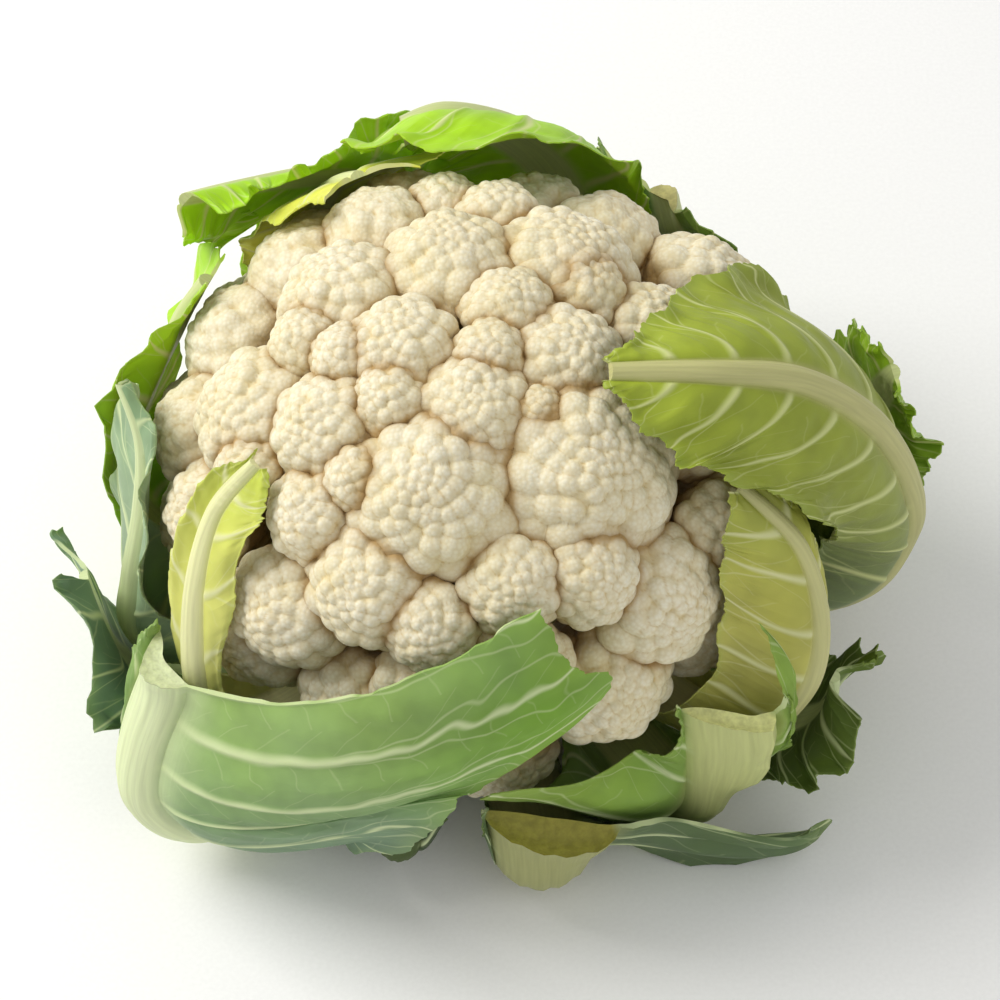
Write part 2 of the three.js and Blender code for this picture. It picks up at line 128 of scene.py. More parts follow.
def curd_finish():
    """Raw cauliflower curd: a dense mat of flower buds, matt and slightly waxy, that light enters a
    little. Tops are creamy white. As painted shade and painted bounce light, the hollows between bud
    clusters are painted yellowish, the creases tan and the valleys between florets brown."""
    material, tree = new_material("raw_curd_matt_cream")
    painted_shade_depths = add(tree, "Attribute", attribute_name="painted_shade_depths")
    crease_shade, valley_shade, hollow_shade = add(tree, "SeparateXYZ", {0: painted_shade_depths.outputs["Vector"]}).outputs
    place = add(tree, "TexCoord").outputs["Object"]
    # Patches of 20 mm that are a little warmer
    patch = add(tree, "TexNoise", {"Vector": place, "Scale": 50.0, "Detail": 3.0, "Roughness": 0.6})
    tone = add(tree, "ValToRGB", {0: patch.outputs[0]},
               stops=[(0.3, linear("#E6DEBC")), (0.5, linear("#EBE4C9")), (0.72, linear("#F0EBD5"))])
    # Single buds of about 1 mm, drawn as cells
    buds = add(tree, "TexVoronoi", {"Vector": place, "Scale": 900.0, "Randomness": 0.9})
    grain = add(tree, "TexNoise", {"Vector": place, "Scale": 2400.0, "Detail": 2.0})
    speck = add(tree, "ValToRGB", {0: buds.outputs["Distance"]},
                stops=[(0.25, (1, 1, 1, 1)), (0.8, linear("#E3D4AE"))])
    grainy = add(tree, "Mix", {0: 0.42, 6: tone.outputs[0], 7: speck.outputs[0]},
                 data_type="RGBA", blend_type="MULTIPLY")
    colour = grainy.outputs[2]
    # Painted shade: warm tan and brown laid into the hollows, creases and valleys, where shade and bounced
    # light fall
    for depth, most, code in (hollow_shade, 0.55, "#D9C68E"), (crease_shade, 0.5, "#C2A05A"), (valley_shade, 0.85, "#A58144"):
        weight = add(tree, "Math", {0: depth, 1: most}, operation="MULTIPLY")
        turned_to = {0: weight.outputs[0], 6: colour, 7: linear(code)}
        colour = add(tree, "Mix", turned_to, data_type="RGBA").outputs[2]
    relief = add(tree, "Math", {0: buds.outputs["Distance"], 1: -1.0, 2: 1.0}, operation="MULTIPLY_ADD")
    height = add(tree, "Math", {0: grain.outputs[0], 1: 0.25, 2: relief.outputs[0]},
                 operation="MULTIPLY_ADD")
    bump = add(tree, "Bump", {"Strength": 0.4, "Distance": 0.0004, "Height": height.outputs[0]})
    surface = add(tree, "BsdfPrincipled", {
        "Base Color": colour, "Roughness": 0.6, "Normal": bump.outputs[0],
        "Subsurface Weight": 0.1, "Subsurface Radius": (1.0, 0.85, 0.6), "Subsurface Scale": 0.0014,
        "Specular IOR Level": 0.3})
    add(tree, "OutputMaterial", {0: surface.outputs[0]})
    return material


def leaf_finish(name, vein, bloom, roughness):
    """A cabbage-family leaf: a waxy skin over green flesh. Its own colour comes from the attribute
    colour. Pale side veins leave the midrib and fork, thin ones leave them, and wax bloom greys the
    skin. The map "flat" is laid out in centimetres, along the rib and across it."""
    material, tree = new_material(name)
    own = add(tree, "Attribute", attribute_name="colour")
    lines = add(tree, "Attribute", attribute_name="lines")
    ribbed = add(tree, "Attribute", attribute_name="ribbed").outputs["Fac"]
    knifed = add(tree, "Attribute", attribute_name="knifed").outputs["Fac"]
    flat = add(tree, "UVMap", uv_map="flat").outputs[0]
    place = add(tree, "TexCoord").outputs["Object"]
    order, share, gap = add(tree, "SeparateXYZ", {0: lines.outputs["Vector"]}).outputs

    # The side veins wander by a few millimetres on their way to the margin, and narrow from 2.5 to 0.7 mm
    sway = add(tree, "TexNoise", {"Vector": flat, "Scale": 0.55, "Detail": 1.0})
    stray = add(tree, "Math", {0: sway.outputs[0], 1: -0.5}, operation="ADD")
    stray = add(tree, "Math", {0: stray.outputs[0], 1: share}, operation="MULTIPLY")
    count = add(tree, "Math", {0: stray.outputs[0], 1: 0.9, 2: order}, operation="MULTIPLY_ADD")
    off = add(tree, "Math", {0: count.outputs[0], 1: 0.5}, operation="PINGPONG")
    far = add(tree, "Math", {0: off.outputs[0], 1: gap}, operation="MULTIPLY")
    width = add(tree, "MapRange", {0: share, 3: 2.5, 4: 0.7})
    main = add(tree, "MapRange", {0: far.outputs[0], 1: 0.0, 2: width.outputs[0], 3: 1.0, 4: 0.0},
               interpolation_type="SMOOTHSTEP")
    # Each forks on its way out
    spread = add(tree, "MapRange", {0: share, 1: 0.28, 2: 1.0, 3: 0.0, 4: 0.34})
    beside = add(tree, "Math", {0: off.outputs[0], 1: spread.outputs[0]}, operation="SUBTRACT")
    beside = add(tree, "Math", {0: beside.outputs[0]}, operation="ABSOLUTE")
    beside = add(tree, "Math", {0: beside.outputs[0], 1: gap}, operation="MULTIPLY")
    fork = add(tree, "MapRange", {0: beside.outputs[0], 1: 0.0, 2: 0.5, 3: 0.45, 4: 0.0},
               interpolation_type="SMOOTHSTEP")
    # Thin veins leave both sides of each main vein every 11 mm or so, out of step from vein to vein
    lane = add(tree, "Math", {0: count.outputs[0], 1: 0.5}, operation="ADD")
    lane = add(tree, "Math", {0: lane.outputs[0]}, operation="FLOOR")
    out = add(tree, "SeparateXYZ", {0: flat}).outputs[0]
    step = add(tree, "Math", {0: out, 1: 0.9}, operation="MULTIPLY")
    step = add(tree, "Math", {0: lane.outputs[0], 1: 0.37, 2: step.outputs[0]}, operation="MULTIPLY_ADD")
    step = add(tree, "Math", {0: off.outputs[0], 1: -1.5, 2: step.outputs[0]}, operation="MULTIPLY_ADD")
    bend = add(tree, "TexNoise", {"Vector": flat, "Scale": 1.1, "Detail": 1.0})
    step = add(tree, "Math", {0: bend.outputs[0], 1: 0.5, 2: step.outputs[0]}, operation="MULTIPLY_ADD")
    aside = add(tree, "Math", {0: step.outputs[0], 1: 0.5}, operation="PINGPONG")
    thin = add(tree, "MapRange", {0: aside.outputs[0], 1: 0.0, 2: 0.045, 3: 0.18, 4: 0.0},
               interpolation_type="SMOOTHSTEP")
    veins = add(tree, "Math", {0: main.outputs[0], 1: fork.outputs[0]}, operation="MAXIMUM")
    veins = add(tree, "Math", {0: veins.outputs[0], 1: thin.outputs[0]}, operation="MAXIMUM").outputs[0]

    # The blade is mottled over about 12 mm, and dusted with wax
    mottle = add(tree, "TexNoise", {"Vector": place, "Scale": 85.0, "Detail": 2.0, "Roughness": 0.6})
    shade = add(tree, "MapRange", {0: mottle.outputs[0], 1: 0.3, 2: 0.7, 3: 0.86, 4: 1.12})
    blade = add(tree, "VectorMath", {0: own.outputs["Color"], "Scale": shade.outputs[0]}, operation="SCALE")
    dust = add(tree, "TexNoise", {"Vector": place, "Scale": 30.0, "Detail": 2.0})
    dust = add(tree, "MapRange", {0: dust.outputs[0], 1: 0.35, 2: 0.75, 3: 0.0, 4: bloom})
    blade = add(tree, "Mix", {0: dust.outputs[0], 6: blade.outputs[0], 7: linear("#9DB3A2")},
                data_type="RGBA")
    shown = add(tree, "Math", {0: veins, 1: 0.85}, operation="MULTIPLY")
    veined = add(tree, "Mix", {0: shown.outputs[0], 6: blade.outputs[2], 7: linear(vein)}, data_type="RGBA")
    # Long pale fibres on the midrib
    fibre = add(tree, "Mapping", {0: flat, "Scale": (14.0, 0.5, 1.0)})
    fibre = add(tree, "TexNoise", {"Vector": fibre.outputs[0], "Scale": 1.0, "Detail": 3.0})
    streak = add(tree, "MapRange", {0: fibre.outputs[0], 1: 0.3, 2: 0.7, 3: 0.9, 4: 1.08})
    stalk = add(tree, "VectorMath", {0: own.outputs["Color"], "Scale": streak.outputs[0]}, operation="SCALE")
    skin = add(tree, "Mix", {0: ribbed, 6: veined.outputs[2], 7: stalk.outputs[0]}, data_type="RGBA")
    # A knife cut shows moist flesh that browns in patches
    pith = add(tree, "TexNoise", {"Vector": place, "Scale": 420.0, "Detail": 2.0, "Roughness": 0.7})
    moist = add(tree, "MapRange", {0: pith.outputs[0], 1: 0.35, 2: 0.65, 3: 0.82, 4: 1.1})
    flesh = add(tree, "VectorMath", {0: own.outputs["Color"], "Scale": moist.outputs[0]}, operation="SCALE")
    colour = add(tree, "Mix", {0: knifed, 6: skin.outputs[2], 7: flesh.outputs[0]}, data_type="RGBA")

    fine = add(tree, "TexNoise", {"Vector": place, "Scale": 900.0, "Detail": 1.0})
    pitted = add(tree, "Math", {0: pith.outputs[0], 1: knifed}, operation="MULTIPLY")
    finer = add(tree, "Math", {0: fine.outputs[0], 1: 0.14}, operation="MULTIPLY")
    height = add(tree, "Math", {0: pitted.outputs[0], 1: 1.2, 2: finer.outputs[0]},
                 operation="MULTIPLY_ADD")
    bump = add(tree, "Bump", {"Strength": 0.6, "Distance": 0.0005, "Height": height.outputs[0]})
    gloss = add(tree, "MapRange", {0: mottle.outputs[0], 3: roughness - 0.08, 4: roughness + 0.1})
    surface = add(tree, "BsdfPrincipled", {
        "Base Color": colour.outputs[2], "Roughness": gloss.outputs[0], "Normal": bump.outputs[0],
        "Subsurface Weight": 0.05, "Subsurface Radius": (0.6, 1.0, 0.25), "Subsurface Scale": 0.0012,
        "Specular IOR Level": 0.28})
    add(tree, "OutputMaterial", {0: surface.outputs[0]})
    return material


def stem_finish():
    """A cut cauliflower stem: firm pale green rind with long fibres, and a moist cream cut face."""
    material, tree = new_material("cut_stem_pale_green_rind")
    place = add(tree, "TexCoord").outputs["Object"]
    long = add(tree, "Mapping", {0: place, "Scale": (700.0, 700.0, 60.0)})
    fibre = add(tree, "TexNoise", {"Vector": long.outputs[0], "Scale": 1.0, "Detail": 3.0})
    face = add(tree, "Attribute", attribute_name="cut")
    rind = add(tree, "ValToRGB", {0: fibre.outputs[0]},
               stops=[(0.3, linear("#B9CC8E")), (0.7, linear("#DDE6BD"))])
    pith = add(tree, "TexNoise", {"Vector": place, "Scale": 500.0, "Detail": 4.0})
    flesh = add(tree, "ValToRGB", {0: pith.outputs[0]},
                stops=[(0.35, linear("#D9CF9C")), (0.65, linear("#EFEAD0"))])
    colour = add(tree, "Mix", {0: face.outputs["Fac"], 6: rind.outputs[0], 7: flesh.outputs[0]},
                 data_type="RGBA")
    bump = add(tree, "Bump", {"Strength": 0.5, "Distance": 0.0005, "Height": fibre.outputs[0]})
    surface = add(tree, "BsdfPrincipled", {
        "Base Color": colour.outputs[2], "Roughness": 0.5, "Normal": bump.outputs[0],
        "Subsurface Weight": 0.15, "Subsurface Radius": (1.0, 0.9, 0.4), "Subsurface Scale": 0.002})
    add(tree, "OutputMaterial", {0: surface.outputs[0]})
    return material


def floor_finish():
    """Matt white studio paper."""
    material, tree = new_material("studio_paper_matt_white")
    grain = add(tree, "TexNoise", {"Vector": add(tree, "TexCoord").outputs["Object"], "Scale": 900.0})
    tone = add(tree, "ValToRGB", {0: grain.outputs[0]},
               stops=[(0.3, linear("#F6F6F5")), (0.7, linear("#FAFAF9"))])
    surface = add(tree, "BsdfPrincipled", {"Base Color": tone.outputs[0], "Roughness": 0.9,
                                           "Specular IOR Level": 0.1})
    add(tree, "OutputMaterial", {0: surface.outputs[0]})
    return material


# ---------------------------------------------------------------- meshes

def grid_quads(index, wrap=False):
    """The quads between neighbouring rows and columns of a grid of vertex numbers. Going along a row
    and then to the next row turns the way that faces outwards."""
    ahead = np.roll(index, -1, axis=1) if wrap else index[:, 1:]
    here = index if wrap else index[:, :-1]
    corners = (here[:-1], ahead[:-1], ahead[1:], here[1:])
    return np.stack(corners, axis=-1).reshape(-1, 4)


ATTRIBUTE_KINDS = {1: ("FLOAT", "value"), 3: ("FLOAT_VECTOR", "vector"), 4: ("FLOAT_COLOR", "color")}


def put(name, points, faces, material, node, attributes=None, flat=None, sharp=None):
    """Makes a piece from points in millimetres and a list of face arrays, with its attributes: one
    number, three or four (a colour) a point. sharp is the angle past which an edge isn't smoothed."""
    mesh = bpy.data.meshes.new(name)
    mesh.vertices.add(len(points))
    mesh.vertices.foreach_set("co", (points * MM).astype(np.float32).ravel())
    corners = np.concatenate([f.ravel() for f in faces]).astype(np.int32)
    sizes = np.concatenate([np.full(len(f), f.shape[1]) for f in faces])
    mesh.loops.add(len(corners))
    mesh.loops.foreach_set("vertex_index", corners)
    mesh.polygons.add(len(sizes))
    mesh.polygons.foreach_set("loop_start", (np.cumsum(sizes) - sizes).astype(np.int32))
    mesh.update(calc_edges=True)
    mesh.shade_smooth()
    if sharp:
        mesh.set_sharp_from_angle(angle=np.radians(sharp))
    for key, values in (attributes or {}).items():
        values = np.asarray(values, np.float32)
        kind, field = ATTRIBUTE_KINDS[1 if values.ndim == 1 else values.shape[1]]
        mesh.attributes.new(key, kind, "POINT").data.foreach_set(field, values.ravel())
    if flat is not None:
        layer = mesh.uv_layers.new(name="flat")
        layer.uv.foreach_set("vector", flat[corners].astype(np.float32).ravel())
    mesh.materials.append(material)
    piece = bpy.data.objects.new(name, mesh)
    bpy.context.collection.objects.link(piece)
    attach(piece, "root")
    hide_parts(node)
    return piece


def unit(v):
    """Each vector over its length."""
    return v / np.linalg.norm(v, axis=-1, keepdims=True)


def smooth(low, high, x):
    """0 below low and 1 above high, with an even start and end between them."""
    f = np.clip((x - low) / (high - low), 0, 1)
    return f * f * (3 - 2 * f)


def direction(azimuth, latitude):
    """The unit vector at an azimuth and latitude in degrees, with azimuth 0 along -Y."""
    a, l = np.radians(azimuth), np.radians(latitude)
    return np.stack([np.cos(l) * np.sin(a), -np.cos(l) * np.cos(a), np.sin(l)], axis=-1)


def ellipsoid(d, across, up):
    """Distance from the heart to an ellipsoid round it, along the directions d."""
    return 1 / np.sqrt((d[..., 0] ** 2 + d[..., 1] ** 2) / across ** 2 + d[..., 2] ** 2 / np.square(up))


def dome(d):
    """The smooth dome that the florets sit on: flatter above the heart than below it."""
    return ellipsoid(d, CURD_RADIUS, np.where(d[..., 2] > 0, CURD_RISE, CURD_DROP * 1.5))


# ---------------------------------------------------------------- florets

# Azimuth, latitude, radius and how far it stands out, on the side that opens to the light
OPEN_FLORETS = [
    (138, 55, 20), (117, 60, 10), (-165, 66, 17), (-116, 53, 16), (-72, 72, 14),
    (120, 80, 11), (70, 66, 15), (2, 67, 14.5), (-44, 63, 9), (-57, 48, 14),
    (-79, 33, 17), (-14, 46, 21.5), (40, 45, 24), (27, 28, 12), (-43, 34, 11),
    (-24, 26, 15), (-41, 12, 15), (9, 30, 12), (42, 13, 17), (28, -3, 17),
    (3, -17, 14), (120, 22, 17, 6), (100, 46, 13), (-171, 41, 10), (172, 48, 11),
    (-64, 31, 9), (-69, 13, 13), (-9, 22, 11), (60, 17, 12), (-92, 51, 9),
    (-78, 60, 8), (24, 80, 9), (33, 63, 6), (-36, 46, 8), (82, 33, 16),
    (76, 13, 16), (-8, 2, 15), (-24, -6, 15), (8, 12, 13), (5, -27, 15, 14),
]
HIDDEN_FLORETS, HIDDEN_RADIUS, HIDDEN_SPACING = 64, 15.0, 0.8
HIDDEN_LATITUDES = (58, -14)
# Shares of a floret's radius, except for LOBES, a count, and LOBE_SPREAD, degrees. The scene's florets
# are wider than the solid's by SPREAD and sit deeper by as much.
FLORET_SINK, LOBES, LOBE_SPREAD, LOBE_SINK = 0.86, 11, 96, 0.68
SPREAD = 0.07
# Spacing of the bud clusters at a floret's crown in mm. Shares of the spacing: a cluster's radius, how
# far it stands out, how deep the skin lies between clusters, and their uneven places.
PITCH = 2.6
BUD_RADIUS, BUD_RISE, SKIN_DEPTH, BUD_LUCK = 0.69, 0.11, 0.25, 0.12
CAP_RIM, BUD_RIM, SKIRT_START, CROWN_TILT = 112, 125, 92, 0.35
# Rows of a floret's grid: per mm of radius, the least and the most, and on a hidden floret
GRID_DENSITY, GRID_LEAST, GRID_MOST, GRID_HIDDEN = 7.3, 66, 165, 54
PIECE_LIMIT = 190000


def all_florets():
    """The open florets, and hidden ones on a spiral wherever those leave room: axis, radius, lift."""
    rows = [(direction(f[0], f[1]), f[2], f[3] if len(f) > 3 else 0.0) for f in OPEN_FLORETS]
    top, bottom = np.sin(np.radians(HIDDEN_LATITUDES))
    for n in range(HIDDEN_FLORETS):
        height = top + (bottom - top) * n / (HIDDEN_FLORETS - 1)
        axis = direction(np.degrees(n * GOLDEN), np.degrees(np.arcsin(height)))
        apart = np.arccos(np.clip([axis @ r[0] for r in rows], -1, 1)) * CURD_RADIUS
        if np.all(apart > HIDDEN_SPACING * (np.array([r[1] for r in rows]) + HIDDEN_RADIUS)):
            rows.append((axis, HIDDEN_RADIUS, 0.0))
    return [np.array(column, float) for column in zip(*rows)]


def turned(axis):
    """The rotation that takes +Z to axis by the shortest way."""
    x, y, z = axis
    w = np.array([[0, 0, x], [0, 0, y], [-x, -y, 0]])
    return np.eye(3) + w + w @ w / (1 + z)


def lobe_directions(index):
    """A floret's eleven lobes on a golden-angle spiral about its own axis, evenly over its cap."""
    n = np.arange(LOBES)
    polar = np.radians(LOBE_SPREAD) * np.sqrt((n + 0.4) / LOBES)
    around = n * GOLDEN + np.radians(index * 47)
    out = [np.sin(polar) * np.cos(around), np.sin(polar) * np.sin(around), np.cos(polar)]
    return np.stack(out, axis=-1), 0.36 + 0.1 * (n + 0.4) / LOBES


def sphere_reach(d, centres, radii, floor):
    """How far out each ball reaches along each direction: the far root of the ray through it."""
    along = d @ centres.T
    inside = radii ** 2 - (centres ** 2).sum(1) + along ** 2
    hit = (inside > 0) & (along > 0)
    return np.where(hit, along + np.sqrt(np.maximum(inside, 0)), floor)


def soft_max(values, sharpness):
    """The largest value per row, rounded over where several are close, and how many are close."""
    most = values.max(1)
    total = np.exp(sharpness * (values - most[:, None])).sum(1)
    return most + np.log(total) / sharpness, total - 1


def curd_reach(d):
    """How far out the curd reaches from the heart: a soft maximum over the core and all lobes."""
    axes, radii, lifts = all_florets()
    centres, sizes = [], []
    for i, (axis, radius, lift) in enumerate(zip(axes, radii, lifts)):
        middle = axis * (dome(axis) + lift - FLORET_SINK * radius)
        out, share = lobe_directions(i)
        centres += [middle + out @ turned(axis).T * LOBE_SINK * radius, middle[None]]
        sizes += [radius * share, [radius * 0.88]]
    centres, sizes = np.concatenate(centres), np.concatenate(sizes)
    core = CORE_SHARE * ellipsoid(d, CURD_RADIUS, np.where(d[:, 2] > 0, CURD_RISE, CURD_DROP))
    reach = []
    for part, least in zip(np.array_split(d, 12), np.array_split(core, 12)):
        each = sphere_reach(part, centres, sizes, -1e3)
        reach.append(soft_max(np.concatenate([each, least[:, None]], axis=1), 2.2)[0])
    return np.concatenate(reach)


def bud_pitch(radius, polar):
    """Spacing of the bud clusters on a floret: PITCH at the crown, even and wide from 65 degrees on."""
    widest = max(0.46 * radius, PITCH + 0.6)
    return PITCH + (widest - PITCH) * np.minimum(polar / np.radians(65), 1) ** 1.45


def knobs(radius, rim, seed):
    """The bud clusters of a floret on a golden-angle spiral. The count up to an angle is the cap's
    area so far over the area of one cluster at its spacing. Gives directions, radii and spacings."""
    luck = np.random.default_rng(seed)
    polar = np.linspace(0, rim, 400)
    density = TURN * np.sin(polar) * radius ** 2 / (0.866 * bud_pitch(radius, polar) ** 2)
    count = np.concatenate([[0], np.cumsum((density[1:] + density[:-1]) / 2 * np.diff(polar))])
    n = np.arange(int(count[-1]))
    at = np.interp(n + 0.3, count, polar)
    each = bud_pitch(radius, at)
    at = at + luck.normal(0, BUD_LUCK, len(n)) * each / radius
    around = n * GOLDEN + luck.uniform(0, TURN)
    around = around + luck.normal(0, BUD_LUCK, len(n)) * each / radius / np.maximum(np.sin(at), 0.1)
    out = np.stack([np.sin(at) * np.cos(around), np.sin(at) * np.sin(around), np.cos(at)], axis=-1)
    return out, each * BUD_RADIUS * luck.uniform(0.9, 1.12, len(n)), each


def floret(index, axis, radius, lift, size):
    """One floret as a closed form about its own centre. A square grid is laid on its cap by the
    concentric map of a square to a disc, so the middle has no pole; its border runs in on rings to a
    point in the stalk. Along each direction it reaches the soft maximum over balls, one per bud
    cluster, that sit on a soft maximum over its eleven lobes and its core. The finest clusters lie
    on the side towards the top of the head."""
    middle = axis * (dome(axis) + lift - (FLORET_SINK + SPREAD) * radius)
    radius = radius * (1 + SPREAD)
    turn = turned(axis)
    rim = np.radians(CAP_RIM)
    a, b = np.meshgrid(np.linspace(-1, 1, size), np.linspace(-1, 1, size), indexing="ij")
    wide = np.abs(a) > np.abs(b)
    r = np.where(wide, a, b)
    safe = np.where(np.abs(r) < 1e-9, 1, r)
    around = np.where(wide, np.pi / 4 * b / safe, np.pi / 2 - np.pi / 4 * a / safe)
    around = np.where(r < 0, around + np.pi, around).ravel()
    polar = rim * np.abs(r.ravel()) ** 1.2
    d = np.stack([np.sin(polar) * np.cos(around), np.sin(polar) * np.sin(around), np.cos(polar)], axis=-1)

    lobe_out, lobe_share = lobe_directions(index)

    def body(at):
        each = sphere_reach(at, lobe_out * LOBE_SINK * radius, radius * (lobe_share - 0.07), 0)
        core = np.full((len(at), 1), radius * 0.95)
        return soft_max(np.concatenate([each, core], axis=1), 14 / radius)[0]

    crown = unit(np.array([0, 0, 1]) + CROWN_TILT * turn[2])
    out, ball, apart = knobs(radius, np.radians(BUD_RIM), 100 + index)
    out = out @ turned(crown).T
    each = sphere_reach(d, out * (body(out) + BUD_RISE * apart - ball)[:, None], ball, -1e3)
    skin = body(d)
    pitch = bud_pitch(radius, np.arccos(np.clip(d @ crown, -1, 1)))
    low_skin = (skin - SKIN_DEPTH * pitch)[:, None]
    reach, near = soft_max(np.concatenate([each, low_skin], axis=1), 24 / PITCH)
    hollow_shade = np.clip((skin + 0.07 * pitch - reach) / (0.32 * pitch), 0, 1)
    skirt = smooth(np.radians(SKIRT_START), rim, polar)
    reach = reach * (1 - 0.12 * skirt)
    cap = middle + (d * reach[:, None]) @ turn.T
    # Masks for painted shade in the curd's finish: how close each point is to a crease between bud clusters,
    # and how deep it lies in the hollows between them
    painted_shade_depths = np.stack([np.clip(near, 0, 1), hollow_shade], axis=-1)

    index_of = np.arange(size * size).reshape(size, size)
    border = np.concatenate([index_of[:-1, 0], index_of[-1, :-1],
                             index_of[:0:-1, -1], index_of[0, :0:-1]])
    edge = cap[border]
    root = middle - axis * radius * 0.9
    rings = [root + (edge - root) * s - axis * radius * 0.35 * (1 - s) ** 0.5 * s for s in (0.7, 0.4)]
    points = np.concatenate([cap, *rings, root[None]])
    painted_shade_depths = np.concatenate([painted_shade_depths, np.ones((2 * len(border) + 1, 2))])
    rows = np.stack([border, size * size + np.arange(len(border)),
                     size * size + len(border) + np.arange(len(border))])
    last = rows[-1]
    fan = np.stack([last, np.roll(last, -1), np.full(len(last), len(points) - 1)], axis=-1)
    quads = np.concatenate([grid_quads(index_of)[:, ::-1], grid_quads(rows, wrap=True)[:, ::-1]])
    return points, painted_shade_depths, quads, fan[:, ::-1]


def make_curd(material):
    """Joins the florets into pieces of fewer than 200,000 triangles, and marks each point with how
    deep it lies between its clusters and between florets, for the painted shade of its finish."""
    axes, radii, lifts = all_florets()
    middles = axes * (dome(axes) + lifts - (FLORET_SINK + SPREAD) * radii)[:, None]
    groups, load = [[]], 0
    for i in range(len(radii)):
        shown = i < len(OPEN_FLORETS)
        size = int(np.clip(GRID_DENSITY * radii[i], GRID_LEAST, GRID_MOST)) if shown else GRID_HIDDEN
        triangles = 2 * size * size + 16 * size
        if load + triangles > PIECE_LIMIT:
            groups.append([])
            load = 0
        load += triangles
        groups[-1].append((i, size))
    for number, group in enumerate(groups):
        points, painted_shade_depth_parts, quads, fans, start = [], [], [], [], 0
        for i, size in group:
            p, painted_shade_depths, quad, fan = floret(i, axes[i], radii[i], lifts[i], size)
            others = np.delete(np.arange(len(radii)), i)
            apart = np.linalg.norm(middles[others] - middles[i], axis=1)
            gap = np.full(len(p), 1e3)
            for j in others[apart < radii[i] + radii[others] + 8]:
                gap = np.minimum(gap, np.linalg.norm(p - middles[j], axis=1) - 1.08 * radii[j])
            # Painted shade: points near a neighbouring floret, or far below the dome, are marked to be
            # painted brown in the valleys
            depth = dome(unit(p)) + lifts[i] - np.linalg.norm(p, axis=1)
            close = 0.7 * smooth(1.4, -0.6, gap) + 0.3 * smooth(4.5, 0, gap)
            valley_shade = np.maximum(close, smooth(6, 16, depth))
            painted_shade_depth_parts.append(np.stack([painted_shade_depths[:, 0], valley_shade, painted_shade_depths[:, 1]], axis=-1))
            points.append(p)
            quads.append(quad + start)
            fans.append(fan + start)
            start += len(p)
        put(f"curd_florets_{number + 1}", np.concatenate(points) + HEART,
            [np.concatenate(quads), np.concatenate(fans)], material, "curd",
            {"painted_shade_depths": np.concatenate(painted_shade_depth_parts)})


# ---------------------------------------------------------------- leaves

BLADE, LEAF_GAP, FLOOR_GAP, RIB_SHARE, RIB_WIDTH = 1.0, 0.8, 0.5, 0.2, 8
VEIN_SPACE, SAW_PITCH, FRINGE_ROWS = 15.5, 2.5, 1.2
BLADE_OFF, BLADE_THICK, BLADE_TAPER, THINNEST = 0.2, 0.75, 0.4, 0.35
BLADE_EDGE, YOUNG_BASE = "#A9C05A", "#CBD6A2"
# Rows of the mesh beside each side vein, as shares of the space between veins
FINE_ROWS = [-0.5, -0.34, -0.2, -0.11, -0.05, 0, 0.05, 0.11, 0.2, 0.34]
PLAIN_ROWS = [-0.5, -0.28, -0.12, 0, 0.12, 0.28]
FINE_COLUMNS, PLAIN_COLUMNS, RIB_COLUMNS = 40, 26, 8
# Columns round a margin, as shares of the way from the outer face to the inner one
MARGIN = np.array([0.25, 0.5, 0.75])
# First seed of each uneven wave. A leaf adds its own number.
SEEDS = dict(teeth_right=10, teeth_left=50, tears=90, frill=130, sway=170, saw=210, puff=250)
STALKS = {"inner_leaf": "#D2D79A", "green_leaf": "#C0C98A", "outer_leaf": "#C8D4A0"}
ROWS, COLUMNS, PASSES = 48, 40, 10
CELL, CLEAR = 1.5, 2
MAP_ROWS, MAP_COLUMNS = int(180 / CELL), int(360 / CELL)
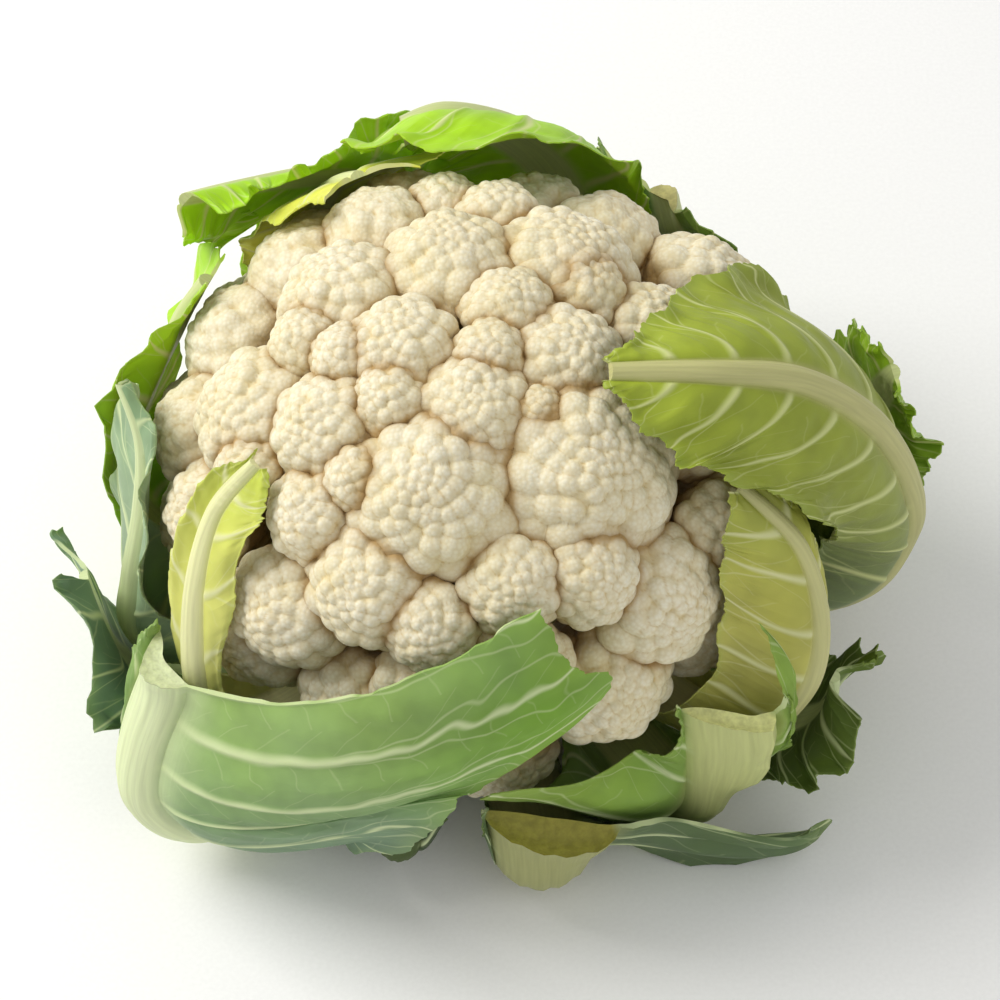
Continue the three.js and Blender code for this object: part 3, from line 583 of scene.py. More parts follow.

# Wrapper leaves, from the innermost to the outermost.
# rib: azimuth, reach and height of the midrib's inner face, from the stem to the tip or the knife cut.
# left, right: how wide the blade is on each side along the rib, seen from outside with the tip up.
# veins: how steeply the side veins climb on the left and on the right, in degrees.
# hug: how far off the curd the blade's left and right edges lie. Like veins, it is one number a side,
# or a list of them along the rib.
# width: the midrib's half-width at the end, from RIB_WIDTH at the stem. bulk: its height at the stem
# and at the end.
# wave: depth and number of the waves along each edge. roll: how far the margins turn outwards.
# ragged: depth of the teeth along the margins and of the tears at the end.
# fringe: depth of the small teeth, SAW_PITCH apart. puff: how far the blade swells between its veins.
# space: distance between side veins. fine: whether the mesh is fine, for a leaf that is seen close.
# colours: the blade from the stem to the tip; on leaf_low_front darkened as painted shade, and on
# leaf_back, leaf_back_left and leaf_low_back_left brightened to lime as painted light through the leaf.
# stalk: the midrib. cut: a knife cut across the end.
# far: the colour that a wide blade turns to, between two distances from the middle of its rib.
LEAVES = [
    dict(name="leaf_inner_left", slot="inner_leaf",
         rib=[(-46, 21, 30), (-46, 48, 24), (-46, 72, 30), (-47, 88, 50), (-52, 83, 79),
              (-58, 71, 98), (-57, 59, 111)],
         left=[1.5, 3, 8, 9, 8, 5, 1], right=[1.5, 3, 3, 4, 9, 13, 2], veins=(40, 30), hug=(6, 2),
         width=1.6, bulk=(6, 1.0), wave=(0.5, 5), roll=0.6, ragged=(1.0, 0.5), fringe=0.8,
         colours=["#DCDC98", "#D8D88A", "#CCCE6C", "#B4C044"], stalk="#DEDEA6"),
    dict(name="leaf_inner_right", slot="inner_leaf",
         rib=[(50, 21, 30), (50, 48, 24), (50, 74, 25), (50, 90, 38), (54, 98, 57), (58, 96, 74),
              (62, 86, 90), (62, 70, 103)],
         left=[1.5, 3, 10, 14, 18, 21, 15, 2], right=[1.5, 3, 6, 9, 10, 9, 6, 1],
         veins=([15, 30], 35), hug=(2, 9), width=1.6, bulk=(6, 1.0), wave=(0.5, 6), roll=0.5,
         ragged=(0.9, 0.5), fringe=1.2,
         colours=["#CFCF84", "#BFBE6A", "#B6B458", "#A9B048"], stalk="#C8C68A"),
    dict(name="leaf_inner_back_left", slot="inner_leaf",
         rib=[(-148, 21, 30), (-148, 48, 24), (-149, 74, 32), (-150, 83, 56), (-150, 80, 80),
              (-151, 72, 98), (-152, 61, 112)],
         left=[1.5, 3, 12, 22, 27, 26, 14], right=[1.5, 3, 12, 22, 27, 26, 14], veins=(35, 35),
         hug=(4, 4), width=2, bulk=(6, 1.2), wave=(0.8, 5), roll=1.0, ragged=(1.2, 1.5), fringe=0.9,
         colours=["#D8DC80", "#D4DA60", "#DCDF50"]),
    dict(name="leaf_inner_back_right", slot="inner_leaf",
         rib=[(128, 21, 30), (128, 48, 24), (128, 72, 30), (127, 82, 48), (125, 81, 60),
              (123, 78, 72)],
         left=[1.5, 3, 14, 24, 26, 14], right=[1.5, 3, 14, 22, 24, 12], veins=(35, 35), hug=(3, 3),
         width=3, bulk=(6, 2), wave=(0.8, 4), roll=1.0, ragged=(1.2, 1.5),
         colours=["#C8CE78", "#B2C056", "#A6B846"]),
    dict(name="leaf_low_front", slot="outer_leaf",
         rib=[(-16, 21, 22.5), (-16, 50, 14), (-15, 74, 10), (-13, 82, 17), (-12, 76, 28)],
         left=[1.5, 3, 8, 8, 4], right=[1.5, 3, 7, 7, 4], veins=(35, 35), hug=(16, 16), width=4,
         bulk=(6, 2.5), wave=(0.6, 3), roll=0.3, ragged=(0.8, 0.6),
         # Blade and midrib colours darkened to deep green as painted shade, for the shade low under the
         # front leaves
         colours=["#6F7E4C", "#42572A", "#35481E"], stalk="#4E5E30"),
    dict(name="leaf_right", slot="green_leaf",
         rib=[(85, 21, 22.5), (85, 54, 14), (86, 95, 21), (88, 108, 44), (87, 105, 70),
              (85, 94, 96), (81, 77, 116), (72, 58, 127), (57, 37, 130)],
         left=[1.5, 3, 14, 30, 40, 40, 32, 18, 1], right=[1.5, 3, 18, 34, 46, 46, 32, 16, 1],
         veins=(42, 25), hug=(6, 4), width=2.2, bulk=(6.5, 1.4), wave=(0.8, 7), roll=1.8,
         ragged=(1.3, 0.6), fringe=0.9, puff=0.9, space=18, fine=True,
         colours=["#7F8E5E", "#76885A", "#84904C", "#939E3C", "#98A634", "#9CAC30"], stalk="#BEBC80"),
    dict(name="leaf_left", slot="outer_leaf",
         rib=[(-76, 21, 22.5), (-76, 54, 14), (-75, 80, 16), (-74, 89, 34), (-74, 87, 54),
              (-77, 82, 74), (-82, 80, 90), (-88, 84, 102)],
         left=[1.5, 3, 16, 26, 28, 24, 14, 2], right=[1.5, 3, 10, 12, 9, 8, 5, 1], veins=(35, 35),
         hug=(8, 6), width=1.6, bulk=(6.5, 1.0), wave=(1.4, 5), roll=2.2, ragged=(1.4, 0.8),
         fine=True,
         colours=["#A3B78F", "#97AD88", "#8FA680", "#84A074"]),
    dict(name="leaf_back", slot="green_leaf",
         rib=[(160, 21, 22.5), (160, 54, 14), (161, 80, 22), (163, 90, 48), (167, 91, 72),
              (174, 87, 90), (-175, 84, 99), (-167, 82, 98)],
         left=[1.5, 3, 14, 26, 36, 44, 32, 8], right=[1.5, 3, 14, 24, 24, 16, 8, 4],
         veins=([30, 50], [30, 20]), hug=(8, 8), width=6.5, bulk=(6.5, 4.5), wave=(1.4, 5),
         roll=3.6, ragged=(2.2, 1.0), fringe=1.2, fine=True,
         # Partly the leaf's own yellow-green, brightened to vivid lime as painted light shining through it
         # from behind
         colours=["#9CC038", "#9CCA18", "#A0D008", "#A6D404"], cut="#C6C46A"),
    dict(name="leaf_back_left", slot="green_leaf",
         rib=[(-98, 21, 15), (-98, 54, 9), (-98, 80, 14), (-98, 91, 40), (-103, 85, 64),
              (-109, 77, 86), (-114, 71, 102)],
         left=[1.5, 3, 14, 22, 24, 18, 4], right=[1.5, 3, 10, 14, 12, 9, 2], veins=(35, 35),
         hug=(6, 6), width=3, bulk=(6.5, 2), wave=(1.0, 5), roll=2.4, ragged=(1.6, 1.0),
         # Partly the leaf's own yellow-green, brightened to vivid lime as painted light shining through it
         # from behind
         colours=["#A4BC6C", "#9CC440", "#A0CE24", "#A2D01A"]),
    dict(name="leaf_front_left", slot="outer_leaf",
         rib=[(-43, 21, 15), (-43, 56, 9), (-43, 85, 8.5), (-45, 101, 16), (-49, 107, 30),
              (-51, 101, 47), (-52, 88, 65)],
         left=[1.5, 3, 8, 11, 11, 8, 2], right=[1.5, 3, 20, 61, 94, 128, 90],
         veins=(40, [0, 0, 0, -16, -7, 10, 29]), hug=(12, [26, 26, 24, 20, 8, 5, 4]), width=8.5,
         bulk=(7, 6), wave=(1.2, 4), roll=1.2, ragged=(1.5, 2.0), fringe=1.2, puff=1.1, space=16,
         fine=True,
         colours=["#7C9270", "#6F876C", "#728D6C", "#82A062", "#8CAA58"], stalk="#D8E2B2",
         far=("#74A01C", 60, 128), cut="#C6CFA0"),
    dict(name="leaf_front_right", slot="outer_leaf",
         rib=[(41, 21, 15), (41, 54, 9.5), (40, 78, 9), (40, 87, 20), (41, 87, 33), (41, 86, 47),
              (41, 83, 61)],
         left=[1.5, 3, 20, 60, 16, 4, 1.5], right=[1.5, 3, 8, 12, 14, 16, 18],
         veins=([0, 0, 4, 16, 24, 20, 20], [40, 70]), hug=(7, 10), width=7.5, bulk=(7, 6.5),
         wave=(1.0, 4), roll=1.0, ragged=(1.4, 1.2), fringe=1.0, puff=0.9, space=19, fine=True,
         colours=["#84A054", "#7A9A40", "#80A03E", "#86A440"], stalk="#C6CC88",
         far=("#86A534", 18, 60), cut="#D6D992"),
    dict(name="leaf_far_right", slot="green_leaf",
         rib=[(106, 21, 15), (106, 54, 9), (106, 82, 15), (105, 99, 40), (103, 103, 58),
              (100, 102, 74), (98, 104, 85)],
         left=[1.5, 3, 12, 16, 14, 9, 5], right=[1.5, 3, 14, 20, 18, 11, 5], veins=(35, 35),
         hug=(26, 22), width=2, bulk=(6.5, 1.2), wave=(2.0, 5), roll=2.0, ragged=(2.0, 1.0),
         fringe=1.2,
         colours=["#86A04C", "#7E9C34", "#88AC28", "#92B820"]),
    dict(name="leaf_low_right", slot="outer_leaf",
         rib=[(62, 21, 8.5), (62, 54, 6), (62, 80, 8), (62, 93, 16), (62, 99, 28), (62, 100, 42)],
         left=[1.5, 3, 16, 26, 24, 10], right=[1.5, 3, 14, 18, 14, 6], veins=(35, 35), hug=(38, 34),
         width=1.8, bulk=(6, 1.2), wave=(2.2, 5), roll=1.8, ragged=(2.2, 1.5), fringe=1.6, fine=True,
         colours=["#6E8028", "#586C14", "#52680E", "#5A7014"]),
    dict(name="leaf_front", slot="outer_leaf",
         rib=[(12, 21, 8.5), (12, 54, 6), (12, 73, 7), (12, 83, 13), (12, 84, 25), (12, 79, 37)],
         left=[1.5, 3, 4, 6, 5, 2], right=[1.5, 3, 26, 44, 42, 32],
         veins=(30, [0, 0, 0, -4, -8, -8]), hug=(14, [50, 50, 56, 60, 54, 50]), width=15,
         bulk=(6, 9), wave=(1.6, 4), roll=2.0, ragged=(1.6, 1.0), space=18, fine=True,
         colours=["#788A5C", "#54683C", "#566C3C"], stalk="#A6A870", cut="#98913E"),
    dict(name="leaf_low_back_right", slot="green_leaf",
         rib=[(140, 21, 8.5), (140, 54, 6), (141, 82, 12), (142, 94, 32), (144, 93, 56),
              (147, 86, 79)],
         left=[1.5, 3, 16, 24, 22, 8], right=[1.5, 3, 16, 28, 30, 14], veins=(35, 35), hug=(8, 8),
         width=5, bulk=(6, 3.5), wave=(1.6, 4), roll=2.6, ragged=(1.8, 1.2),
         colours=["#8C9E62", "#78924A", "#7A9A42"], cut="#B9B272"),
    dict(name="leaf_low_back_left", slot="green_leaf",
         rib=[(-150, 21, 8.5), (-150, 54, 6), (-151, 82, 12), (-154, 93, 36), (-158, 92, 60),
              (-157, 87, 81), (-147, 82, 94), (-135, 83, 102), (-123, 84, 113)],
         left=[1.5, 3, 16, 24, 24, 14, 9, 9, 6], right=[1.5, 3, 18, 32, 40, 34, 22, 14, 6],
         veins=(35, 35), hug=(8, 10), width=2.2, bulk=(6, 1.4), wave=(1.8, 5), roll=3.4,
         ragged=(2.0, 1.5), fringe=1.2,
         # Partly the leaf's own yellow-green, brightened to vivid lime as painted light shining through it
         # from behind
         colours=["#9CC044", "#9CCC18", "#A0D208", "#A6D808"]),
    dict(name="leaf_low_left", slot="outer_leaf",
         rib=[(-72, 21, 8.5), (-72, 54, 6), (-71, 82, 10), (-70, 93, 26), (-71, 97, 42),
              (-75, 99, 55)],
         left=[1.5, 3, 14, 20, 20, 12], right=[1.5, 3, 12, 18, 17, 10], veins=(35, 35),
         hug=(26, 24), width=3, bulk=(6, 1.5), wave=(2.0, 4), roll=2.8, ragged=(1.8, 1.2),
         colours=["#8DA078", "#748F70", "#6B8A68"]),
]


def spline_weights(f):
    """The four Catmull-Rom weights at a share f of the way between the middle two points."""
    return (0.5 * (-f + 2 * f ** 2 - f ** 3), 0.5 * (2 - 5 * f ** 2 + 3 * f ** 3),
            0.5 * (f + 4 * f ** 2 - 3 * f ** 3), 0.5 * (-f ** 2 + f ** 3))


def through(values, t):
    """A smooth value or point at t from 0 to 1 through equally spaced ones, by Catmull-Rom. A single
    number holds all the way."""
    values = np.asarray(values, float)
    if values.ndim == 0:
        values = np.full(2, values)
    last = len(values) - 1
    x = np.clip(t, 0, 1) * last
    i = np.minimum(np.floor(x).astype(int), last - 1)
    total = 0
    for step, w in zip((-1, 0, 1, 2), spline_weights(x - i)):
        w = w.reshape(w.shape + (1,) * (values.ndim - 1))
        total = total + values[np.clip(i + step, 0, last)] * w
    return total


def between(grid, t, q):
    """A value on the sheet at t from 0 to 1 and q from -1 to 1, by Catmull-Rom both ways."""
    x, y = t * (grid.shape[0] - 1), (q + 1) / 2 * (grid.shape[1] - 1)
    i = np.minimum(np.floor(x).astype(int), grid.shape[0] - 2)
    j = np.minimum(np.floor(y).astype(int), grid.shape[1] - 2)
    total = 0
    for a, wa in zip((-1, 0, 1, 2), spline_weights(x - i)):
        row = np.clip(i + a, 0, grid.shape[0] - 1)
        for b, wb in zip((-1, 0, 1, 2), spline_weights(y - j)):
            total = total + grid[row, np.clip(j + b, 0, grid.shape[1] - 1)] * wa * wb
    return total


def rib_points(leaf):
    """The midrib's stations as points: reach times the azimuth's sine and cosine, and height."""
    stations = np.array(leaf["rib"], float)
    a = np.radians(stations[:, 0])
    return np.stack([stations[:, 1] * np.sin(a), -stations[:, 1] * np.cos(a), stations[:, 2]], axis=-1)


def sheet(leaf, t, q, extra=0.0):
    """The bare leaf at t along its rib and q across it. From the rib, each point goes off by the
    rib's half-width and then the blade's width, on a great circle that climbs with the side veins;
    its reach eases from the rib's to the dome's with the leaf's own clearance and a wave."""
    rib = rib_points(leaf) - HEART
    at = through(rib, t)
    reach = np.linalg.norm(at, axis=-1)
    out = at / reach[..., None]
    along = through(rib, np.minimum(t + 0.02, 1)) - through(rib, np.maximum(t - 0.02, 0))
    along = unit(along - (along * out).sum(-1, keepdims=True) * out)
    across = np.cross(along, out)
    side = q >= 0
    edge = np.where(side, through(leaf["right"], t), through(leaf["left"], t))
    depth, count = leaf["wave"]
    teeth = 1 + 0.05 * np.sin(TURN * (count + 1) * t + 2 * side)
    share = np.maximum(np.abs(q) - RIB_SHARE, 0) / (1 - RIB_SHARE)
    in_rib = np.minimum(np.abs(q) / RIB_SHARE, 1)
    half = RIB_WIDTH + (leaf["width"] - RIB_WIDTH) * t
    bulk = leaf["bulk"][0] + (leaf["bulk"][1] - leaf["bulk"][0]) * t
    off = half * in_rib + (np.maximum(edge * teeth, 1) + extra) * share
    slope = np.where(side, through(leaf["veins"][1], t), through(leaf["veins"][0], t))
    climb = np.radians(slope) * np.sqrt(share)
    sideways = np.cos(climb) * np.where(side, 1, -1)
    heading = across * sideways[..., None] + along * np.sin(climb)[..., None]
    turn = (off / reach)[..., None]
    d = out * np.cos(turn) + heading * np.sin(turn)
    body = np.clip(edge / 12, 0, 1)
    settle = body * share ** 2 * (3 - 2 * share)
    ripple = depth * body * share ** 2 * np.sin(TURN * count * t + 3 * side)
    clear = np.where(side, through(leaf["hug"][1], t), through(leaf["hug"][0], t))
    wanted = reach + (dome(d) + clear - reach) * settle + ripple
    return dict(d=d, wanted=wanted, bulk=bulk, in_rib=in_rib, share=share, off=off, body=body)


def cell_of(d):
    """The cell of the map of azimuth by latitude that each direction falls in."""
    latitude = np.degrees(np.arcsin(np.clip(d[..., 2], -1, 1)))
    row = np.clip(np.floor((latitude + 90) / CELL), 0, MAP_ROWS - 1)
    column = np.floor(np.degrees(np.arctan2(d[..., 0], -d[..., 1])) / CELL) % MAP_COLUMNS
    return row.astype(int), column.astype(int)


def first_cover():
    """How far out the curd reaches, on a map of azimuth by latitude."""
    azimuth = (np.arange(MAP_COLUMNS) + 0.5) * CELL
    latitude = (np.arange(MAP_ROWS) + 0.5) * CELL - 90
    a, l = np.meshgrid(azimuth, latitude)
    return curd_reach(direction(a, l).reshape(-1, 3)).reshape(MAP_ROWS, MAP_COLUMNS)


def widened(cover):
    """Each cell takes the furthest reach within CLEAR cells, wider in azimuth towards the poles."""
    near = [np.clip(np.arange(MAP_ROWS) + k, 0, MAP_ROWS - 1) for k in range(-CLEAR, CLEAR + 1)]
    rows = np.stack([cover[row] for row in near]).max(0)
    latitude = np.radians((np.arange(MAP_ROWS) + 0.5) * CELL - 90)
    span = np.minimum(np.round(CLEAR / np.cos(latitude)), MAP_COLUMNS // 4).astype(int)
    wide = rows.copy()
    for step in range(1, span.max() + 1):
        use = span >= step
        for shift in (step, -step):
            wide[use] = np.maximum(wide[use], np.roll(rows[use], shift, axis=1))
    return wide


def drape(leaf, cover):
    """Lays the leaf on what is under it, on a grid of rows and columns: the lift that it needs,
    faded out over the sheet, and then the map is raised to its outer face."""
    t, q = np.meshgrid(np.arange(ROWS + 1) / ROWS, 2 * np.arange(COLUMNS + 1) / COLUMNS - 1,
                       indexing="ij")
    s = sheet(leaf, t, q)
    push = np.maximum(widened(cover)[cell_of(s["d"])] + LEAF_GAP - s["wanted"], 0)
    known = np.pad(np.ones_like(push), 1)
    known = known[:-2, 1:-1] + known[2:, 1:-1] + known[1:-1, :-2] + known[1:-1, 2:]
    for _ in range(PASSES):
        old = np.pad(push, 1)
        around = old[:-2, 1:-1] + old[2:, 1:-1] + old[1:-1, :-2] + old[1:-1, 2:]
        push = np.maximum(push, around / known)
    floor = (HEART[2] - FLOOR_GAP) / np.maximum(-s["d"][..., 2], 1e-6)
    outer = np.minimum(s["wanted"] + push + BLADE + s["bulk"] * np.sqrt(1 - s["in_rib"] ** 2), floor)
    for u in np.arange(4) / 3:
        for v in np.arange(4) / 3:
            d, reach = 0, 0
            corners = (0, 0, (1 - u) * (1 - v)), (0, 1, (1 - u) * v), (1, 0, u * (1 - v)), (1, 1, u * v)
            for i, j, w in corners:
                rows, columns = slice(i, ROWS + i), slice(j, COLUMNS + j)
                d = d + s["d"][rows, columns] * w
                reach = reach + outer[rows, columns] * w
            np.maximum.at(cover, cell_of(unit(d)), reach)
    return push


def wobble(x, seed, lowest, highest, terms=7):
    """A repeatable uneven wave of x, about -1 to 1: sines of seeded pitch and phase, added up."""
    luck = np.random.default_rng(seed)
    pitch = np.geomspace(lowest, highest, terms) * luck.uniform(0.85, 1.15, terms)
    phase = luck.uniform(0, TURN, terms)
    strength = luck.uniform(0.6, 1, terms) / np.sqrt(np.arange(terms) + 1)
    waves = np.sin(TURN * pitch * x[..., None] + phase) * strength
    return waves.sum(-1) / strength.sum() * 1.6


def leaf_grid(leaf, length, count):
    """Where the rows and columns of a leaf's mesh lie: t along the rib, q across, and how far each
    column is from the outer face to the inner one. Rows lie on each side vein, close beside it and
    between veins, and where there is a fringe, every FRINGE_ROWS along the rib."""
    fine = leaf.get("fine", False)
    beside = np.array(FINE_ROWS if fine else PLAIN_ROWS)
    t = np.unique(np.clip((np.arange(count + 1)[:, None] + beside).ravel() / count, 0, 1))
    if fine:
        half = 0.8 / count
        t = np.unique(np.concatenate([t, [1 - half * 0.12, 1 - half * 0.05]]))
    if "fringe" in leaf:
        t = np.unique(np.concatenate([t, np.linspace(0, 1, int(length / FRINGE_ROWS))]))
    crowd = np.linspace(0, 1, FINE_COLUMNS if fine else PLAIN_COLUMNS) ** 0.9
    on_rib = np.linspace(0, RIB_SHARE, RIB_COLUMNS)[:-1]
    right = np.concatenate([on_rib, RIB_SHARE + (1 - RIB_SHARE) * crowd])
    q = np.concatenate([-right[:0:-1], right])
    across = np.concatenate([q, np.ones(len(MARGIN)), q[::-1], -np.ones(len(MARGIN))])
    inward = np.concatenate([np.zeros(len(q)), MARGIN, np.ones(len(q)), MARGIN[::-1]])
    return t, across, inward, len(q)


def close_ends(points, columns, bowls):
    """Closes both ends of the tube with a small grid between its outer and inner faces. Each inner
    point of it is moved by its bowl, a vector per column that is full half-way between the faces.
    Gives all points, all faces, and the point of the tube that each takes its attributes from."""
    rows, ring = points.shape[:2]
    c, k = columns, len(MARGIN) + 1
    index = np.arange(rows * ring).reshape(rows, ring)
    total = rows * ring
    faces, added, picks = [grid_quads(index, wrap=True)], [], [np.arange(total)]
    part = MARGIN[:, None, None]
    for end, bowl in zip((0, rows - 1), bowls):
        cap = np.zeros((k + 1, c), int)
        cap[0] = index[end, :c]
        cap[k] = index[end, c + k - 1:2 * c + k - 1][::-1]
        cap[1:k, c - 1] = index[end, c:c + k - 1]
        cap[1:k, 0] = index[end, 2 * c + k - 1:][::-1]
        cap[1:k, 1:c - 1] = total + np.arange((k - 1) * (c - 2)).reshape(k - 1, c - 2)
        total += (k - 1) * (c - 2)
        top, bottom = points[end, :c][1:-1], points[end, c + k - 1:2 * c + k - 1][::-1][1:-1]
        added.append((top + (bottom - top) * part + bowl(part)).reshape(-1, 3))
        picks.append(np.tile(np.arange(1, c - 1), k - 1) + end * ring)
        quads = grid_quads(cap)
        faces.append(quads if end else quads[:, ::-1])
    return np.concatenate([points.reshape(-1, 3), *added]), faces, np.concatenate(picks)


def towards(tint, code, weight):
    """Each colour mixed with one hex colour, by a weight per point."""
    weight = weight.reshape(-1, 1)
    return tint * (1 - weight) + np.array(linear(code)) * weight


def leaf_tint(leaf, t, s, rib, knife):
    """A colour for each point of a leaf: the blade's colours along the rib, yellower at the margin
    and paler near the stem, then the midrib's and the knife cut's."""
    tint = through([linear(code) for code in leaf["colours"]], t.reshape(-1))
    if "far" in leaf:
        code, near_edge, far_edge = leaf["far"]
        tint = towards(tint, code, smooth(near_edge, far_edge, s["off"]))
    tint = towards(tint, BLADE_EDGE, 0.2 * smooth(0.85, 1, s["share"]))
    tint = np.clip(towards(tint, YOUNG_BASE, 0.5 * (1 - smooth(0.05, 0.3, t))), 0, 1)
    tint = towards(tint, leaf.get("stalk", STALKS[leaf["slot"]]), rib)
    return towards(tint, leaf["cut"], knife) if "cut" in leaf else tint


def make_leaf(number, leaf, push, material):
    """A leaf as a closed tube: its cross-section runs over the outer face, round the right margin,
    back over the inner face and round the left margin, and both ends are closed by a small grid.
    Side veins stand up as ridges, the blade swells between them, and its edges are toothed, torn,
    rolled and frilled by uneven waves."""
    track = through(rib_points(leaf), np.linspace(0, 1, 200))
    walked = np.concatenate([[0], np.cumsum(np.linalg.norm(np.diff(track, axis=0), axis=1))])
    length = walked[-1]
    count = max(int(round(length / leaf.get("space", VEIN_SPACE))), 4)
    gap = length / count
    t, across, inward, columns = leaf_grid(leaf, length, count)
    T, Q = np.meshgrid(t, across, indexing="ij")
    seed = {key: first + number for key, first in SEEDS.items()}

    # The teeth and the tears move the margin first, and the leaf is worked out there
    right = Q >= 0
    sign = np.where(right, 1, -1)
    teeth_depth, tear_depth = leaf["ragged"]
    pace = length / 10
    teeth = np.where(right, wobble(T, seed["teeth_right"], pace * 0.4, pace * 2.2),
                     wobble(T, seed["teeth_left"], pace * 0.4, pace * 2.2))
    saw = np.abs((T * length / SAW_PITCH + wobble(T, seed["saw"], 2, 9)) % 1 - 0.5) * 2
    teeth = teeth + leaf.get("fringe", 0) / teeth_depth * (saw - 0.5) * (0.7 + 0.3 * teeth)
    untorn = sheet(leaf, T, Q)
    tear = tear_depth / length * (0.5 + 0.5 * wobble(untorn["off"] / 30 * sign, seed["tears"], 0.7, 5))
    T2 = np.clip(T - tear * smooth(0.75, 1, T) * smooth(0.0, 0.4, untorn["share"]), 0, 1)
    s = sheet(leaf, T2, Q, extra=teeth * teeth_depth)
    share = s["share"]

    # Ridges on the veins, swellings between them, and a rolled and frilled margin
    order = T2 * count
    far = np.abs((order + 0.5) % 1 - 0.5) * gap
    ridge = np.exp(-(far / (1.5 - 0.9 * share)) ** 2) * (1 - 0.75 * share) * smooth(0, 0.08, share)
    quilt = np.sin(np.pi * (order % 1)) ** 2 * share * (1 - share) * 4
    quilt = quilt * (1 + 0.8 * wobble(s["off"] / 40 + order, seed["puff"], 0.8, 3.5))
    edge_curl = smooth(0.72, 1, share) * s["body"]
    frill = wobble(T2, seed["frill"], pace * 0.3, pace * 0.9) * edge_curl
    roll = leaf["roll"] * (0.55 * edge_curl + 0.8 * frill + 0.35 * np.abs(frill))
    lift = np.maximum(between(push, T2, Q), 0)
    sway = 0.6 * wobble(T2 + Q * 0.6, seed["sway"], 1.0, 4.0) * share
    bulk = s["bulk"] * (1 - s["in_rib"] ** 2) ** 0.8 * (1 - 0.05 * np.cos(TURN * 2.5 * Q / RIB_SHARE))
    inner = s["wanted"] + lift + BLADE_OFF + np.maximum(roll, -0.5) + leaf.get("puff", 0.5) * quilt
    inner = inner + np.maximum(sway, -0.4)
    blade = BLADE_THICK - BLADE_TAPER * smooth(0.8, 1, share)
    outer = inner + blade + bulk + (0.75 * ridge - 0.3 * quilt) * s["body"]
    floor = (HEART[2] - FLOOR_GAP) / np.maximum(-s["d"][..., 2], 1e-6)
    outer = np.minimum(outer, floor)
    inner = np.minimum(inner, outer - THINNEST)
    reach = outer + (inner - outer) * inward
    points = s["d"] * reach[..., None]

    # A knife cut is dished along the rib, deepest in its middle
    down = unit(points[-7, columns // 2] - points[-1, columns // 2]) if "cut" in leaf else np.zeros(3)
    dish = 0.02 * leaf["bulk"][1] ** 2 * (1 - s["in_rib"][-1, 1:columns - 1] ** 2)[None, :, None]
    bowls = (lambda part: 0.0, lambda part: dish * 4 * part * (1 - part) * down)
    points, faces, picks = close_ends(points, columns, bowls)

    along = np.interp(T2, np.linspace(0, 1, 200), walked)
    flat = np.stack([s["off"] * sign / 10 + 20 * number, along / 10], axis=-1)
    rib = 1 - smooth(0.8, 1.25, s["in_rib"] + share * 12 / np.maximum(s["bulk"], 1))
    knife = (T > 0.9999) * (s["in_rib"] < 1.0) * 1.0 * ("cut" in leaf)
    tint = leaf_tint(leaf, T2, s, rib, knife)
    lines = np.stack([order, share, np.full(T.shape, gap)], axis=-1).reshape(-1, 3)
    put(leaf["name"] + "_blade", points + HEART, faces, material, leaf["name"],
        {"colour": tint[picks], "lines": lines[picks], "ribbed": rib.ravel()[picks],
         "knifed": knife.ravel()[picks]}, flat=flat.reshape(-1, 2)[picks], sharp=52)


# ---------------------------------------------------------------- stem

FACE_HEIGHTS = [0, 0, 0, 0, 0, 0, 0.3, 1.5]
FACE_SHARES = [0.02, 0.25, 0.5, 0.72, 0.86, 0.93, 0.965, 0.995]
RIND_ROWS, STEM_SIDES, FACE_ROWS = 26, 96, 7


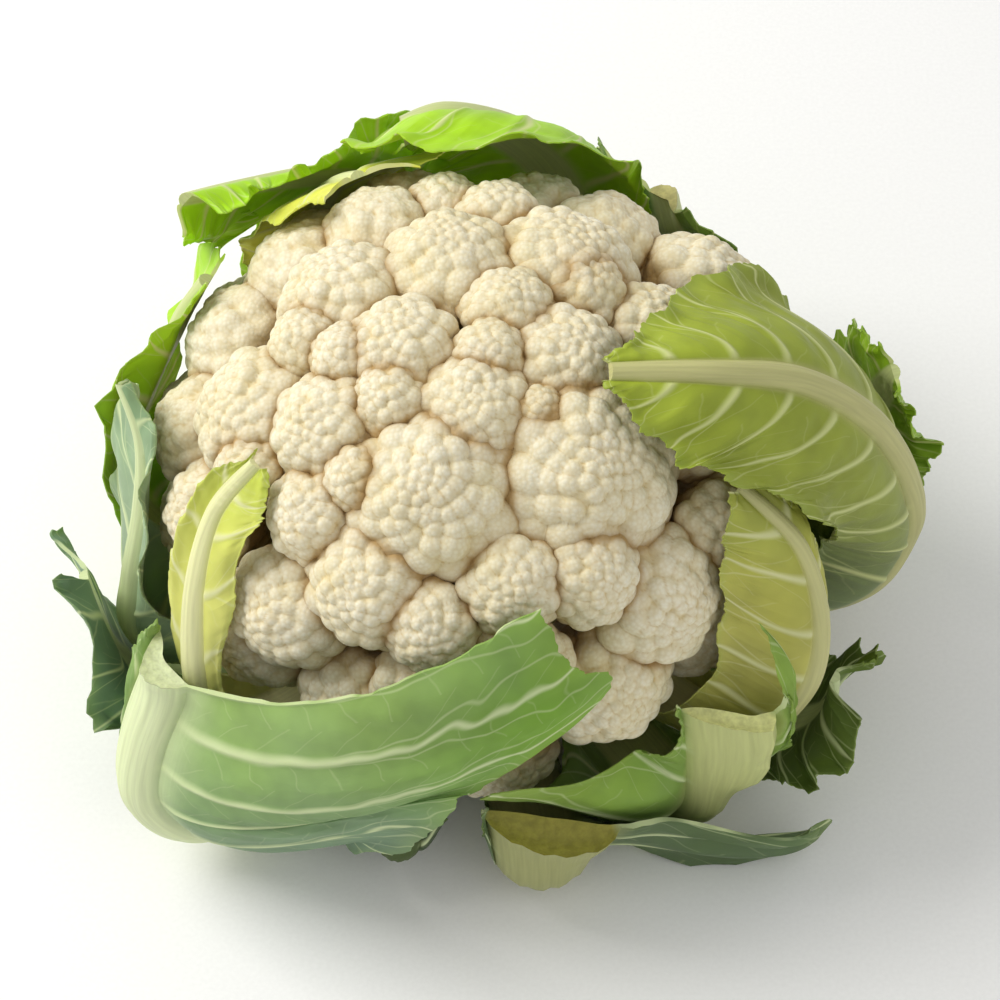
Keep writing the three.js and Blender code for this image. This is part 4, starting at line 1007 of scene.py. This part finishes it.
def make_stem(material):
    """The stem as a profile carried round the axis: a rind with shallow flutes and one ring where
    leaves were cut away, and a nearly flat cut face at the bottom. The ring is a bell-shaped groove
    whose height rises and falls by 3 mm on the way round."""
    rind_heights = np.linspace(3, STEM_TOP - 1, RIND_ROWS)
    height = np.concatenate([FACE_HEIGHTS, rind_heights, [STEM_TOP - 0.4] * 2])
    share = np.concatenate([FACE_SHARES, np.full(RIND_ROWS, 1.0), [0.5, 0.02]])
    around = np.linspace(0, TURN, STEM_SIDES, endpoint=False)
    h, a = np.meshgrid(height, around, indexing="ij")
    rind = 1 - 0.018 + 0.012 * np.sin(7 * a + h / 9) + 0.006 * np.sin(19 * a - h / 5)
    scar = 0.02 * np.exp(-((h - 14 - 3 * np.sin(2 * a)) / 1.2) ** 2)
    r = STEM_RADIUS * share[:, None] * (rind - scar)
    points = np.stack([r * np.cos(a), r * np.sin(a), h], axis=-1).reshape(-1, 3)
    index = np.arange(points.shape[0]).reshape(h.shape)
    ends = np.array([[0, 0, height[0]], [0, 0, height[-1]]])
    points = np.concatenate([points, ends])
    first, last = index[0], index[-1]
    fans = np.concatenate([
        np.stack([np.roll(first, -1), first, np.full(STEM_SIDES, len(points) - 2)], axis=-1),
        np.stack([last, np.roll(last, -1), np.full(STEM_SIDES, len(points) - 1)], axis=-1)])
    on_face = np.broadcast_to((np.arange(len(height)) < FACE_ROWS)[:, None], h.shape)
    cut = np.concatenate([on_face.ravel(), [1, 0]])
    put("stem_butt", points, [grid_quads(index, wrap=True), fans], material, "stem",
        {"cut": cut.astype(float)}, sharp=50)


# ---------------------------------------------------------------- making it all

place_camera()
place_light("key_light", (-0.8, 0.28, 0.8), (0, 0, 0.06), 0.7, 11, (1.0, 0.985, 0.955))
place_light("fill_light", (0.9, -0.5, 0.8), (0, 0, 0.06), 1.2, 2.0, (1.0, 0.985, 0.95))

world = bpy.data.worlds.new("studio")
world.use_nodes = True
world.node_tree.nodes["Background"].inputs["Color"].default_value = (1, 1, 1, 1)
world.node_tree.nodes["Background"].inputs["Strength"].default_value = WORLD_STRENGTH
bpy.context.scene.world = world
bpy.context.scene.view_settings.view_transform = "Standard"

floor_mesh = bpy.data.meshes.new("studio_floor")
floor_corners = [(x * FLOOR_REACH, y * FLOOR_REACH, 0) for x, y in ((-1, -1), (1, -1), (1, 1), (-1, 1))]
floor_mesh.from_pydata(floor_corners, [], [(0, 1, 2, 3)])
floor_mesh.materials.append(floor_finish())
studio_floor = bpy.data.objects.new("studio_floor", floor_mesh)
bpy.context.collection.objects.link(studio_floor)

make_curd(curd_finish())
make_stem(stem_finish())
finishes = {
    "inner_leaf": leaf_finish("inner_leaf_pale_waxy_skin", "#D9DAA4", 0.03, 0.5),
    "green_leaf": leaf_finish("green_leaf_waxy_skin", "#CFD592", 0.04, 0.48),
    "outer_leaf": leaf_finish("outer_leaf_bloomed_waxy_skin", "#D0DCA8", 0.16, 0.5),
}
cover = first_cover()
for number, leaf in enumerate(LEAVES):
    make_leaf(number, leaf, drape(leaf, cover), finishes[leaf["slot"]])
